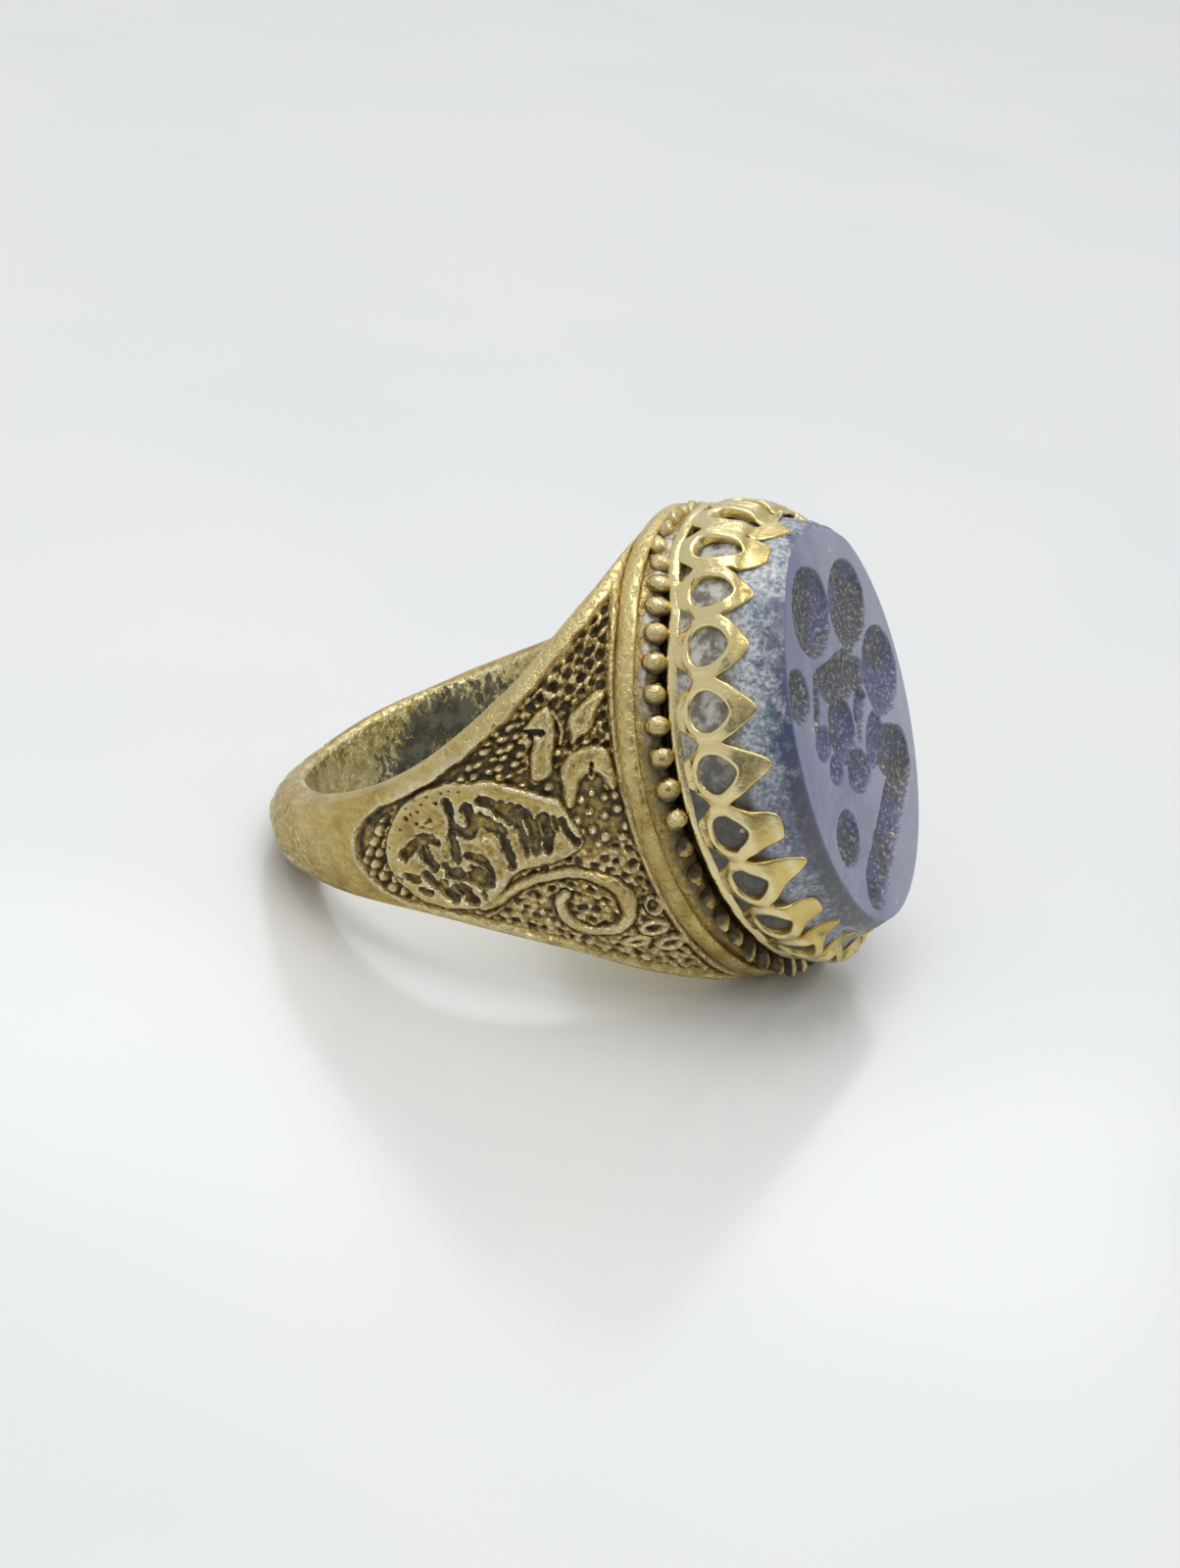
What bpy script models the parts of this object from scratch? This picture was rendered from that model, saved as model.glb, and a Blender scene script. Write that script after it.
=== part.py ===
"""Intaglio ring: a cast brass hoop with carved shoulders, a pierced crown bezel
and a cut blue stone, lying on its side.

The pieces are drawn on the ring's own axes and hang from one empty:
u runs from the finger hole's centre to the stone, v across the finger and
w along the finger. The empty then tips them to the pose in which the ring
rests, on the head's edge and on the palm side of the hoop.
"""

import math

import bmesh
import bpy
import numpy as np
from mathutils import Matrix, Vector

MM = 0.001

# Finger hole, worn a little out of round, and the metal round it, in mm
BORE_U = 9.3
BORE_V = 9.0
PALM_WALL = 1.55
SIDE_WALL = 1.65
RIM_WALL = 1.25
BORE_CHAMFER = 0.22

# Half width of the hoop along the finger at the palm, and how far its rim under
# the head stands in from the plate's end
PALM_HALF = 1.3
RIM_STEP = 0.33
# How the half width grows from the palm to the head: hoop angle from the head
# in degrees, and the share of that growth
FLARE = ((0, 1.0), (40, 0.776), (65, 0.463), (90, 0.205), (120, 0.07), (150, 0.035), (180, 0.0))

# How far the oval plate of the head stands outside the bezel, at its ends along
# the finger and at its sides across it
RIDGE_OUT_W = 0.33
RIDGE_OUT_V = 0.86
# The plate bends round the finger: its ends stand this much further out than
# its middle, and its sides this much further in
SADDLE = 0.46
HEAD_LEAN = -0.027
PLATE = 0.88
BACK_DROP = 1.05
RIDGE_SWELL = 0.32
RIDGE_GROOVE = 0.17

# Row of beads round the foot of the bezel
BEAD_COUNT = 48
BEAD_R = 0.36
BEAD_PHASE = 4.0
BEAD_RISE = 0.26
BEAD_GAP = 0.15

# Crown bezel: a pierced collar whose teeth hold the stone; its half length along
# the finger and half width across it
TOOTH_COUNT = 24
TOOTH_PHASE = 8.0
CROWN_W = 9.7
CROWN_V = 7.6
CROWN_FOOT_IN = 0.32
CROWN_BELLY_OUT = 0.32
CROWN_TIP_IN = 0.42
CROWN_WALL = 0.34
# Bend and lean of the bezel at its foot band and at the teeth's tips
CROWN_SADDLE = 0.4
TIP_SADDLE = 0.15
TIP_LEAN = 0.02
FOOT_RISE = 0.6
LIP_RISE = 0.4
VALLEY_RISE = 2.1
BELLY_RISE = 1.7
TIP_RISE = 3.45

# Stone: a low cone with a flat face
STONE_RISE = 4.45
FACE_W = 8.35
FACE_V = 6.68
STONE_FOOT_BEVEL = 0.3
CUT_DEPTH = 0.5
CUT_LIFT = 0.08

# Clearance that separate pieces keep
GAP = 0.25

# Carved shoulders
FIELD_DEPTH = 0.36
FIELD_LENGTH = 12.3
FIELD_END_LENGTH = 2.4
FIELD_HEAD_MARGIN = 0.3
STRIP_PALM = 0.62
STRIP_HEAD = 1.5
RELIEF_ROOT = 0.2
RELIEF_TOP = 0.02
LEAF_HOLLOW = 0.16

# Small flats that the ring rests on
REST_FLAT_CUT = 0.14

HALF_STEPS = 16
SIDE_ROWS = 10
BACK_ROWS = 9
STONE_STEPS = 36

PARTS_NAME = "intaglio_ring"
CUTTERS_NAME = "ring_cutters"

HEAD_W = CROWN_W + RIDGE_OUT_W
HEAD_V = CROWN_V + RIDGE_OUT_V
HEAD_RIM_HALF = HEAD_W - RIM_STEP
BED = BORE_U + PLATE
RIDGE_BACK = BED - BACK_DROP
PALM_U = BORE_U + PALM_WALL
PLAN_V = BORE_V + SIDE_WALL
CROWN_FOOT = BED + GAP
CROWN_RIM = CROWN_FOOT + FOOT_RISE
BELLY = CROWN_RIM + BELLY_RISE
TIP = CROWN_RIM + TIP_RISE
FACE = CROWN_RIM + STONE_RISE

# Carving of one shoulder: distance back from the head, height along the finger
LEAF = (
    (10.75, -0.1), (10.4, 0.9), (9.6, 1.75), (8.5, 2.3), (7.2, 2.5), (5.8, 2.35), (4.5, 2.0),
    (3.4, 1.45), (2.6, 0.55), (2.75, -0.5), (3.4, -1.15), (4.6, -1.35), (5.7, -1.6),
    (6.5, -2.25), (7.4, -2.65), (8.5, -2.55), (9.6, -2.0), (10.35, -1.15),
)
SCROLL = (
    (5.9, -2.3), (5.0, -2.05), (4.0, -1.92), (2.9, -2.05), (1.9, -2.4), (1.25, -3.0),
    (1.08, -3.7), (1.5, -4.35), (2.4, -4.62), (3.3, -4.4), (3.85, -3.8), (3.75, -3.15),
)
SCROLL_WIDTH = 0.44
HOOK = ((2.35, 1.15), (2.45, 1.95), (2.1, 2.6), (1.5, 2.82), (0.9, 2.65), (0.62, 2.1))
HOOK_WIDTH = 0.6
# Round pads: centre back and height, half length, half width, turn in degrees
TRUNK = (3.0, 3.45, 1.35, 0.45, 98.0)
BUD = (1.5, 4.35, 0.9, 0.42, 158.0)
SEED = (1.15, -5.05, 0.6, 0.34, 20.0)

# Cuts in the face: centre across and along the finger, half lengths, turn in degrees
OVAL_CUTS = (
    (-1.83, 5.42, 2.08, 1.83, 0.0),
    (2.28, 4.47, 2.12, 1.87, 0.0),
    (4.15, 0.88, 2.1, 1.93, 0.0),
    (-5.25, 3.0, 1.2, 1.12, 0.0),
    (-3.75, -3.65, 1.28, 1.16, 0.0),
    (-3.87, 0.5, 0.9, 0.72, 0.0),
    (-0.55, 2.15, 2.3, 0.95, -8.0),
    (-1.58, 0.33, 1.45, 1.5, 0.0),
    (-0.83, -1.83, 1.35, 0.92, -12.0),
    (-3.2, -0.87, 0.75, 0.62, 0.0),
    (1.7, -1.35, 1.35, 0.85, 35.0),
)
# Long cuts: both ends across and along the finger, and the half width
BAR_CUTS = (
    ((-2.0, -6.35), (4.15, -3.35), 1.12),
    ((2.5, -2.1), (4.2, -2.75), 1.1),
    ((-3.05, 2.95), (-4.15, 1.3), 0.3),
)


def smooth(x):
    """Ease from 0 to 1."""
    x = np.clip(x, 0.0, 1.0)
    return x * x * (3.0 - 2.0 * x)


def curve_through(points, x):
    """Height at x of a smooth curve through (x, height) points."""
    px, py = np.array(points, float).T
    slope = np.gradient(py, px)
    slope[0] = 0.0
    slope[-1] = 0.0
    i = np.clip(np.searchsorted(px, x) - 1, 0, len(px) - 2)
    step = px[i + 1] - px[i]
    t = np.clip((x - px[i]) / step, 0.0, 1.0)
    ease = t * t * (3.0 - 2.0 * t)
    lift = t * (1.0 - t) ** 2 * slope[i] - t * t * (1.0 - t) * slope[i + 1]
    return py[i] * (1.0 - ease) + py[i + 1] * ease + lift * step


def rim_half(angle):
    """Half width of the hoop at its hole, at an angle from the head."""
    share = curve_through(FLARE, math.degrees(angle))
    return PALM_HALF + (HEAD_RIM_HALF - PALM_HALF) * float(share)


def plan_outline():
    """The hoop seen along the finger: a straight shoulder, then an oval back."""
    back = RIDGE_BACK - SADDLE
    u_side = np.linspace(back, 0.0, 40)
    v_side = -(PLAN_V - (PLAN_V - HEAD_V) * (u_side / back) ** 2)
    turn = np.linspace(math.pi / 2, math.pi, 90)[1:]
    u = np.concatenate([u_side, PALM_U * np.cos(turn)])
    v = np.concatenate([v_side, -PLAN_V * np.sin(turn)])
    run = np.concatenate([[0.0], np.cumsum(np.hypot(np.diff(u), np.diff(v)))])
    return run, u, v


PLAN_RUN, PLAN_OUT_U, PLAN_OUT_V = plan_outline()
HALF_HOOP = float(PLAN_RUN[-1])
SHOULDER_END = float(PLAN_RUN[39])


def hoop_section(q):
    """Section of the shank at distance q back from the head.

    Gives the top edge, the outermost point, the half width, the hoop angle and
    how much of the head's own form the section still has.
    """
    out_u = float(np.interp(q, PLAN_RUN, PLAN_OUT_U))
    out_v = float(np.interp(q, PLAN_RUN, PLAN_OUT_V))
    back = RIDGE_BACK - SADDLE
    head_share = float(smooth(out_u / back))
    wall = RIM_WALL + (RIDGE_BACK + SADDLE - BORE_U - RIM_WALL) * head_share
    reach = BORE_U + wall if out_u > 0.0 else PALM_U
    angle = math.acos(max(-1.0, min(1.0, (out_u + 2.0 * SADDLE * head_share) / reach)))
    top_u = (BORE_U + wall) * math.cos(angle)
    top_v = -(BORE_V + wall) * math.sin(angle)
    rise = (HEAD_W - HEAD_RIM_HALF) * (1.0 - float(smooth(angle / math.radians(50.0))))
    half = rim_half(angle) + rise
    form = 1.0 - float(smooth(q / SHOULDER_END))
    return (top_u, top_v), (out_u, out_v), half, angle, form


def shoulder_point(q, share, depth=0.0):
    """Point on the shank's outside at q, at a share of the half width from -1 to 1."""
    top, out, half, angle, form = hoop_section(q)
    fall = math.sqrt(max(0.0, 1.0 - share * share))
    u = top[0] + (out[0] - top[0]) * fall ** (0.55 + 1.45 * form)
    v = top[1] + (out[1] - top[1]) * fall ** (0.55 + 0.45 * form)
    w = half * share
    point = Vector((u + HEAD_LEAN * w * form, v, w))
    if depth:
        point -= shoulder_normal(q, share) * depth
    return point


def shoulder_normal(q, share):
    """Outward direction of the shank's outside."""
    q = min(max(q, 0.05), HALF_HOOP - 0.05)
    share = min(max(share, -0.97), 0.97)
    along = shoulder_point(q + 0.04, share) - shoulder_point(q - 0.04, share)
    across = shoulder_point(q, share + 0.02) - shoulder_point(q, share - 0.02)
    return across.cross(along).normalized()


def on_shoulder(q, w, depth=0.0):
    """Point of the carving, from its distance back and its height."""
    half = hoop_section(q)[2]
    return shoulder_point(q, max(-0.98, min(0.98, w / half)), depth)


def field_edge(q):
    """Share of the half width at which the smooth rim strip ends."""
    strip = STRIP_PALM + (STRIP_HEAD - STRIP_PALM) * float(smooth(1.0 - q / FIELD_LENGTH))
    return 1.0 - strip / hoop_section(q)[2]


def head_point(turn, oval, level, saddle, lean=HEAD_LEAN):
    """Point of one of the head's ovals at an angle from the +w end, on the -v side."""
    w = oval[0] * math.cos(turn)
    v = -oval[1] * math.sin(turn)
    u = level + saddle * math.cos(2.0 * turn) + lean * w
    return Vector((u, v, w))


def plate_oval(out):
    """Oval of the head's plate, this far outside its back edge."""
    return HEAD_W + out, HEAD_V + out


def bed_saddle(oval):
    """Bend of the head at an oval."""
    return SADDLE * (oval[0] / HEAD_W) ** 2


def new_object(name, mesh, collection, parent):
    obj = bpy.data.objects.new(name, mesh)
    collection.objects.link(obj)
    obj.parent = parent
    return obj


def mesh_object(name, bm, collection, parent):
    """Object from a bmesh whose faces are turned outwards."""
    bmesh.ops.recalc_face_normals(bm, faces=bm.faces)
    for vert in bm.verts:
        vert.co *= MM
    mesh = bpy.data.meshes.new(name)
    bm.to_mesh(mesh)
    bm.free()
    return new_object(name, mesh, collection, parent)


def as_cutter(obj):
    obj.hide_render = True
    obj.display_type = "WIRE"
    return obj


def boolean(obj, other, operation):
    """Join or cut one solid with another."""
    modifier = obj.modifiers.new(other.name, "BOOLEAN")
    modifier.object = other
    modifier.operation = operation
    modifier.solver = "EXACT"


def paint(obj, name, colour, roughness, metallic):
    """Give an object its own plain material."""
    material = bpy.data.materials.new(name)
    material.use_nodes = True
    shader = material.node_tree.nodes["Principled BSDF"]
    shader.inputs["Base Color"].default_value = (*colour, 1.0)
    shader.inputs["Roughness"].default_value = roughness
    shader.inputs["Metallic"].default_value = metallic
    material.diffuse_color = (*colour, 1.0)
    obj.data.materials.append(material)


def bridge(bm, first, second, closed=True):
    """Faces between two rows of vertices with as many points each."""
    count = len(first)
    for i in range(count if closed else count - 1):
        k = (i + 1) % count
        corners = [first[i], first[k], second[k], second[i]]
        face = [vert for n, vert in enumerate(corners) if vert not in corners[:n]]
        if len(face) > 2:
            bm.faces.new(face)


def outer_row(bm, q):
    """Vertices over the outside of the shank, from its upper to its lower edge."""
    turns = np.linspace(0.0, math.pi, HALF_STEPS + 1)
    return [bm.verts.new(shoulder_point(q, math.cos(turn))) for turn in turns]


def bore_row(bm, q):
    """Vertices over the rim and the finger hole at the same section."""
    angle = hoop_section(q)[3]
    half = rim_half(angle)
    row = []
    for grow, height in ((BORE_CHAMFER, half), (0.0, half - BORE_CHAMFER), (0.0, half * 0.3)):
        u = (BORE_U + grow) * math.cos(angle)
        v = -(BORE_V + grow) * math.sin(angle)
        row.append((u, v, height))
    row += [(u, v, -height) for u, v, height in reversed(row)]
    return [bm.verts.new(point) for point in row]


def head_rows(bm):
    """Rows over the head: ridge, groove, ledge for the beads, bed of the bezel."""
    ledge = bead_oval(0.3 * BEAD_R)
    inner = (0.6 * ledge[0], 0.6 * ledge[1])
    groove = (0.5 * (HEAD_W + 0.1 + ledge[0]), 0.5 * (HEAD_V + 0.1 + ledge[1]))
    profile = (
        (plate_oval(0.85 * RIDGE_SWELL), RIDGE_BACK + 0.24),
        (plate_oval(RIDGE_SWELL), RIDGE_BACK + 0.55),
        (plate_oval(0.85 * RIDGE_SWELL), BED - 0.14),
        (plate_oval(0.5 * RIDGE_SWELL), BED - 0.05),
        (groove, BED - RIDGE_GROOVE),
        (ledge, BED),
        (inner, BED),
    )
    turns = np.linspace(0.0, math.pi, HALF_STEPS + 1)
    rows = []
    for oval, level in profile:
        saddle = bed_saddle(oval)
        rows.append([bm.verts.new(head_point(turn, oval, level, saddle)) for turn in turns])
    last = profile[-1][0]
    middle = []
    for turn in turns:
        point = head_point(turn, last, BED, bed_saddle(last) * math.cos(turn) ** 2)
        middle.append(bm.verts.new((point.x, 0.0, point.z)))
    middle[0] = rows[-1][0]
    middle[-1] = rows[-1][-1]
    rows.append(middle)
    return rows


def make_shank_blank(collection, parent):
    """Half of the shank and head without carving, mirrored across the finger."""
    bm = bmesh.new()
    side = SHOULDER_END * np.linspace(1.0, 0.0, SIDE_ROWS + 1) ** 2
    back = np.linspace(HALF_HOOP, SHOULDER_END, BACK_ROWS + 1)[:-1]
    runs = np.concatenate([back, side])
    outer = [outer_row(bm, q) for q in runs]
    bore = [bore_row(bm, q) for q in runs]
    for i in range(len(runs) - 1):
        bridge(bm, outer[i], outer[i + 1], closed=False)
        bridge(bm, bore[i], bore[i + 1], closed=False)
        bm.faces.new([outer[i][0], outer[i + 1][0], bore[i + 1][0], bore[i][0]])
        bm.faces.new([outer[i][-1], outer[i + 1][-1], bore[i + 1][-1], bore[i][-1]])
    rows = [outer[-1]] + head_rows(bm)
    for first, second in zip(rows, rows[1:]):
        bridge(bm, first, second, closed=False)
    for row in (outer[0], bore[0], bore[-1]):
        for vert in row:
            vert.co.y = 0.0
    for row in rows:
        row[0].co.y = 0.0
        row[-1].co.y = 0.0
    bmesh.ops.remove_doubles(bm, verts=bm.verts, dist=0.0005)
    shank = mesh_object("shank", bm, collection, parent)
    mirror = shank.modifiers.new("other_half", "MIRROR")
    mirror.use_axis = (False, True, False)
    mirror.merge_threshold = 0.000005
    return shank


def mirror_copy(bm):
    """Add the same shapes on the other side of the finger."""
    copied = bmesh.ops.duplicate(bm, geom=bm.verts[:] + bm.edges[:] + bm.faces[:])
    verts = [item for item in copied["geom"] if isinstance(item, bmesh.types.BMVert)]
    for vert in verts:
        vert.co.y = -vert.co.y
    faces = [item for item in copied["geom"] if isinstance(item, bmesh.types.BMFace)]
    bmesh.ops.reverse_faces(bm, faces=faces)


def make_field_cutter(collection, parent):
    """Sunk field of each shoulder, round at its palm end."""
    bm = bmesh.new()
    end = FIELD_HEAD_MARGIN
    round_part = FIELD_LENGTH - FIELD_END_LENGTH * (1.0 - np.cos(np.linspace(0.0, math.pi / 2, 5)))
    straight = np.linspace(FIELD_LENGTH - FIELD_END_LENGTH, end, 9)[1:]
    shares = np.linspace(1.0, -1.0, 9)
    top_rows = []
    floor_rows = []
    for q in np.concatenate([round_part[1:], straight]):
        x = min(1.0, (FIELD_LENGTH - q) / FIELD_END_LENGTH)
        edge = field_edge(q) * math.sqrt(1.0 - (1.0 - x) ** 2)
        points = [shoulder_point(q, edge * s) for s in shares]
        normals = [shoulder_normal(q, edge * s) for s in shares]
        top_rows.append([bm.verts.new(p + n * 0.7) for p, n in zip(points, normals)])
        floor_rows.append([bm.verts.new(p - n * FIELD_DEPTH) for p, n in zip(points, normals)])
    for rows, lift in ((top_rows, -0.7), (floor_rows, FIELD_DEPTH)):
        tip = bm.verts.new(shoulder_point(FIELD_LENGTH, 0.0, lift))
        for a, b in zip(rows[0], rows[0][1:]):
            bm.faces.new([tip, a, b])
        rows.insert(0, [tip] * len(shares))
        for first, second in zip(rows[1:], rows[2:]):
            bridge(bm, first, second, closed=False)
    for k in (0, -1):
        for i in range(len(top_rows) - 1):
            corners = [top_rows[i][k], top_rows[i + 1][k], floor_rows[i + 1][k], floor_rows[i][k]]
            bm.faces.new(corners)
    bridge(bm, top_rows[-1], floor_rows[-1], closed=False)
    bmesh.ops.recalc_face_normals(bm, faces=bm.faces)
    mirror_copy(bm)
    return as_cutter(mesh_object("field_cutter", bm, collection, parent))


def add_pad(bm, outline, hollow):
    """Raised pad over the sunk field, with a border round a shallow hollow."""
    points = np.array(outline)
    middle = points.mean(axis=0)
    top = RELIEF_TOP
    loops = [(1.0, FIELD_DEPTH + RELIEF_ROOT), (1.0, top + 0.12)]
    loops += [(0.88, top), (0.72, top), (0.6, top + hollow)] if hollow else [(0.7, top)]
    rows = []
    for share, depth in loops:
        ring = middle + (points - middle) * share
        rows.append([bm.verts.new(on_shoulder(q, w, depth)) for q, w in ring])
    for first, second in zip(rows, rows[1:]):
        bridge(bm, first, second)
    for row, depth in ((rows[0], FIELD_DEPTH + RELIEF_ROOT), (rows[-1], top + hollow)):
        tip = bm.verts.new(on_shoulder(middle[0], middle[1], depth))
        for i, vert in enumerate(row):
            bm.faces.new([tip, vert, row[(i + 1) % len(row)]])


def round_outline(centre_q, centre_w, half_length, half_width, turn, steps=8):
    """Outline of a round pad."""
    angle = math.radians(turn)
    points = []
    for i in range(steps):
        a = 2.0 * math.pi * i / steps
        x = half_length * math.cos(a)
        y = half_width * math.sin(a)
        points.append((centre_q + x * math.cos(angle) - y * math.sin(angle),
                       centre_w + x * math.sin(angle) + y * math.cos(angle)))
    return points


def add_band(bm, path, width):
    """Raised band along a path over the sunk field."""
    points = np.array(path)
    ahead = np.gradient(points, axis=0)
    ahead /= np.linalg.norm(ahead, axis=1)[:, None]
    side = np.stack([-ahead[:, 1], ahead[:, 0]], axis=1)
    rows = []
    root = FIELD_DEPTH + RELIEF_ROOT
    corners = ((-0.5, root), (-0.5, 0.14), (0.0, RELIEF_TOP), (0.5, 0.14), (0.5, root))
    for point, across in zip(points, side):
        row = []
        for share, depth in corners:
            q, w = point + across * share * width
            row.append(bm.verts.new(on_shoulder(q, w, depth)))
        rows.append(row)
    for first, second in zip(rows, rows[1:]):
        bridge(bm, first, second)
    bm.faces.new(rows[0])
    bm.faces.new(rows[-1])


def make_carving(collection, parent):
    """Leaf, scroll and small motifs of both shoulders, one solid for each kind."""
    pieces = []
    bm = bmesh.new()
    add_pad(bm, LEAF, LEAF_HOLLOW)
    pieces.append(("leaf_relief", bm))
    bm = bmesh.new()
    add_band(bm, SCROLL, SCROLL_WIDTH)
    add_band(bm, HOOK, HOOK_WIDTH)
    pieces.append(("scroll_relief", bm))
    bm = bmesh.new()
    for motif in (TRUNK, BUD, SEED):
        add_pad(bm, round_outline(*motif), 0.0)
    pieces.append(("motif_relief", bm))
    solids = []
    for name, bm in pieces:
        bmesh.ops.recalc_face_normals(bm, faces=bm.faces)
        mirror_copy(bm)
        solids.append(as_cutter(mesh_object(name, bm, collection, parent)))
    return solids


def bead_oval(out):
    """Oval on which the beads lie, this far further out."""
    step = BEAD_GAP + BEAD_R + out - CROWN_FOOT_IN
    return CROWN_W + step, CROWN_V + step


def make_beads(collection, parent):
    """Beads on the ledge round the foot of the bezel."""
    bm = bmesh.new()
    for i in range(BEAD_COUNT):
        turn = math.radians(BEAD_PHASE + 360.0 * i / BEAD_COUNT)
        oval = bead_oval(0.0)
        centre = head_point(turn, oval, BED + BEAD_RISE, bed_saddle(oval))
        upright = Matrix.Rotation(math.pi / 2, 4, "Y")
        place = Matrix.Translation(centre) @ upright
        bmesh.ops.create_uvsphere(bm, u_segments=6, v_segments=3, radius=BEAD_R, matrix=place)
    return as_cutter(mesh_object("bead_row", bm, collection, parent))


def crown_oval(level):
    """Outline of the bezel's outside at a level."""
    profile = (
        (CROWN_FOOT, -CROWN_FOOT_IN), (CROWN_RIM, 0.0), (CROWN_RIM + LIP_RISE, -0.04),
        (BELLY, CROWN_BELLY_OUT), (0.5 * (BELLY + TIP), 0.6 * CROWN_BELLY_OUT), (TIP, -CROWN_TIP_IN),
    )
    levels, steps = np.array(profile).T
    step = float(np.interp(level, levels, steps))
    return CROWN_W + step, CROWN_V + step


def crown_bend(level):
    """Bend and lean of the bezel at a level."""
    levels = (CROWN_FOOT, CROWN_RIM, TIP)
    bends = (bed_saddle(crown_oval(CROWN_FOOT)), CROWN_SADDLE, TIP_SADDLE)
    leans = (HEAD_LEAN, HEAD_LEAN, TIP_LEAN)
    return float(np.interp(level, levels, bends)), float(np.interp(level, levels, leans))


def crown_point(turn, level):
    """Point on the outside of the crown bezel."""
    return head_point(turn, crown_oval(level), level, *crown_bend(level))


def make_crown(collection, parent):
    """Pierced collar: a foot band, an arch round each drop-shaped hole, a tooth on each arch."""
    pitch = 360.0 / TOOTH_COUNT
    # One cell: outline of arch and tooth, and the hole's outline point by point,
    # as a share of the pitch and a rise above the foot band
    arch_top = 0.7 + LIP_RISE
    outline = (
        (-0.22, LIP_RISE), (0.22, LIP_RISE), (0.5, arch_top), (0.5, VALLEY_RISE),
        (0.24, 0.45 * VALLEY_RISE + 0.55 * TIP_RISE), (0.06, TIP_RISE), (-0.06, TIP_RISE),
        (-0.24, 0.45 * VALLEY_RISE + 0.55 * TIP_RISE), (-0.5, VALLEY_RISE), (-0.5, arch_top),
    )
    hole_low = LIP_RISE + 0.5
    hole_high = VALLEY_RISE + 0.2
    hole = (
        (-0.12, 0.0), (0.12, 0.0), (0.25, 0.14), (0.27, 0.42), (0.15, 0.8), (0.02, 1.0),
        (-0.02, 1.0), (-0.15, 0.8), (-0.27, 0.42), (-0.25, 0.14),
    )
    bm = bmesh.new()

    def vertex(turn_share, rise, cell):
        turn = math.radians(TOOTH_PHASE + (cell + turn_share) * pitch)
        return bm.verts.new(crown_point(turn, CROWN_RIM + rise))

    for cell in range(TOOTH_COUNT):
        ring = [vertex(x, rise, cell) for x, rise in outline]
        edge = [vertex(x, hole_low + (hole_high - hole_low) * y, cell) for x, y in hole]
        bridge(bm, ring, edge)
        foot_shares = (-0.5, -0.22, 0.22, 0.5)
        foot = [vertex(x, CROWN_FOOT - CROWN_RIM, cell) for x in foot_shares]
        rim = [vertex(x, 0.0, cell) for x in foot_shares]
        lip = [vertex(x, LIP_RISE, cell) for x in foot_shares]
        bridge(bm, foot, rim, closed=False)
        bridge(bm, rim, lip, closed=False)
    bmesh.ops.remove_doubles(bm, verts=bm.verts, dist=0.001)
    crown = mesh_object("crown_bezel", bm, collection, parent)
    wall = crown.modifiers.new("wall", "SOLIDIFY")
    wall.thickness = CROWN_WALL * MM
    wall.offset = -1.0
    wall.use_even_offset = True
    return crown


def stone_oval(level):
    """Outline of the stone at a level, inside the bezel with a clearance."""
    step = CROWN_WALL + GAP + 0.02
    outside = crown_oval(min(level, TIP))
    inside = (outside[0] - step, outside[1] - step)
    if level <= TIP:
        return inside
    share = (level - TIP) / (FACE - TIP)
    return inside[0] + (FACE_W - inside[0]) * share, inside[1] + (FACE_V - inside[1]) * share


def make_stone(collection, parent):
    """Stone as rows of ovals from its foot, bent like the bezel, to its flat face."""
    foot = CROWN_FOOT + STONE_FOOT_BEVEL
    first = stone_oval(foot)
    foot_oval = (first[0] - STONE_FOOT_BEVEL, first[1] - STONE_FOOT_BEVEL)
    rows = [(foot_oval, CROWN_FOOT, crown_bend(CROWN_FOOT))]
    for level in (foot, BELLY, 0.5 * (BELLY + TIP), TIP):
        rows.append((stone_oval(level), level, crown_bend(level)))
    rows.append((stone_oval(FACE), FACE, (0.0, HEAD_LEAN)))
    bm = bmesh.new()
    loops = []
    for oval, level, bend in rows:
        loop = []
        for i in range(STONE_STEPS):
            turn = 2.0 * math.pi * i / STONE_STEPS
            loop.append(bm.verts.new(head_point(turn, oval, level, *bend)))
        loops.append(loop)
    for first, second in zip(loops, loops[1:]):
        bridge(bm, first, second)
    middle = bm.verts.new((CROWN_FOOT, 0.0, 0.0))
    for i, vert in enumerate(loops[0]):
        bm.faces.new([middle, vert, loops[0][(i + 1) % STONE_STEPS]])
    bm.faces.new(loops[-1])
    return mesh_object("lapis_intaglio", bm, collection, parent)


def face_matrix():
    """Frame of the stone's face: x across the finger, y along it, z outwards."""
    y_axis = Vector((HEAD_LEAN, 0.0, 1.0)).normalized()
    x_axis = Vector((0.0, -1.0, 0.0))
    z_axis = x_axis.cross(y_axis).normalized()
    if z_axis.x < 0.0:
        z_axis = -z_axis
        x_axis = -x_axis
    matrix = Matrix((x_axis, y_axis, z_axis)).transposed().to_4x4()
    matrix.translation = Vector((FACE, 0.0, 0.0))
    return matrix


def cut_shape(bm, half_x, half_y, turn, centre, spread=0.0):
    """Shallow rounded hollow, drawn out along its own length by spread."""
    made = bmesh.ops.create_uvsphere(bm, u_segments=10, v_segments=4, radius=1.0)
    grow = 1.0 / math.sqrt(1.0 - (CUT_LIFT / CUT_DEPTH) ** 2)
    for vert in made["verts"]:
        shift = spread * (1.0 if vert.co.x > 0.001 else -1.0)
        if abs(vert.co.x) <= 0.001:
            shift = 0.0
        x, y, z = vert.co
        vert.co = Vector((x * half_x * grow + shift, y * half_y * grow, z * CUT_DEPTH + CUT_LIFT))
    place = Matrix.Translation((centre[0], centre[1], 0.0))
    spin = Matrix.Rotation(math.radians(turn), 4, "Z")
    bmesh.ops.transform(bm, matrix=face_matrix() @ place @ spin, verts=made["verts"])


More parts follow.
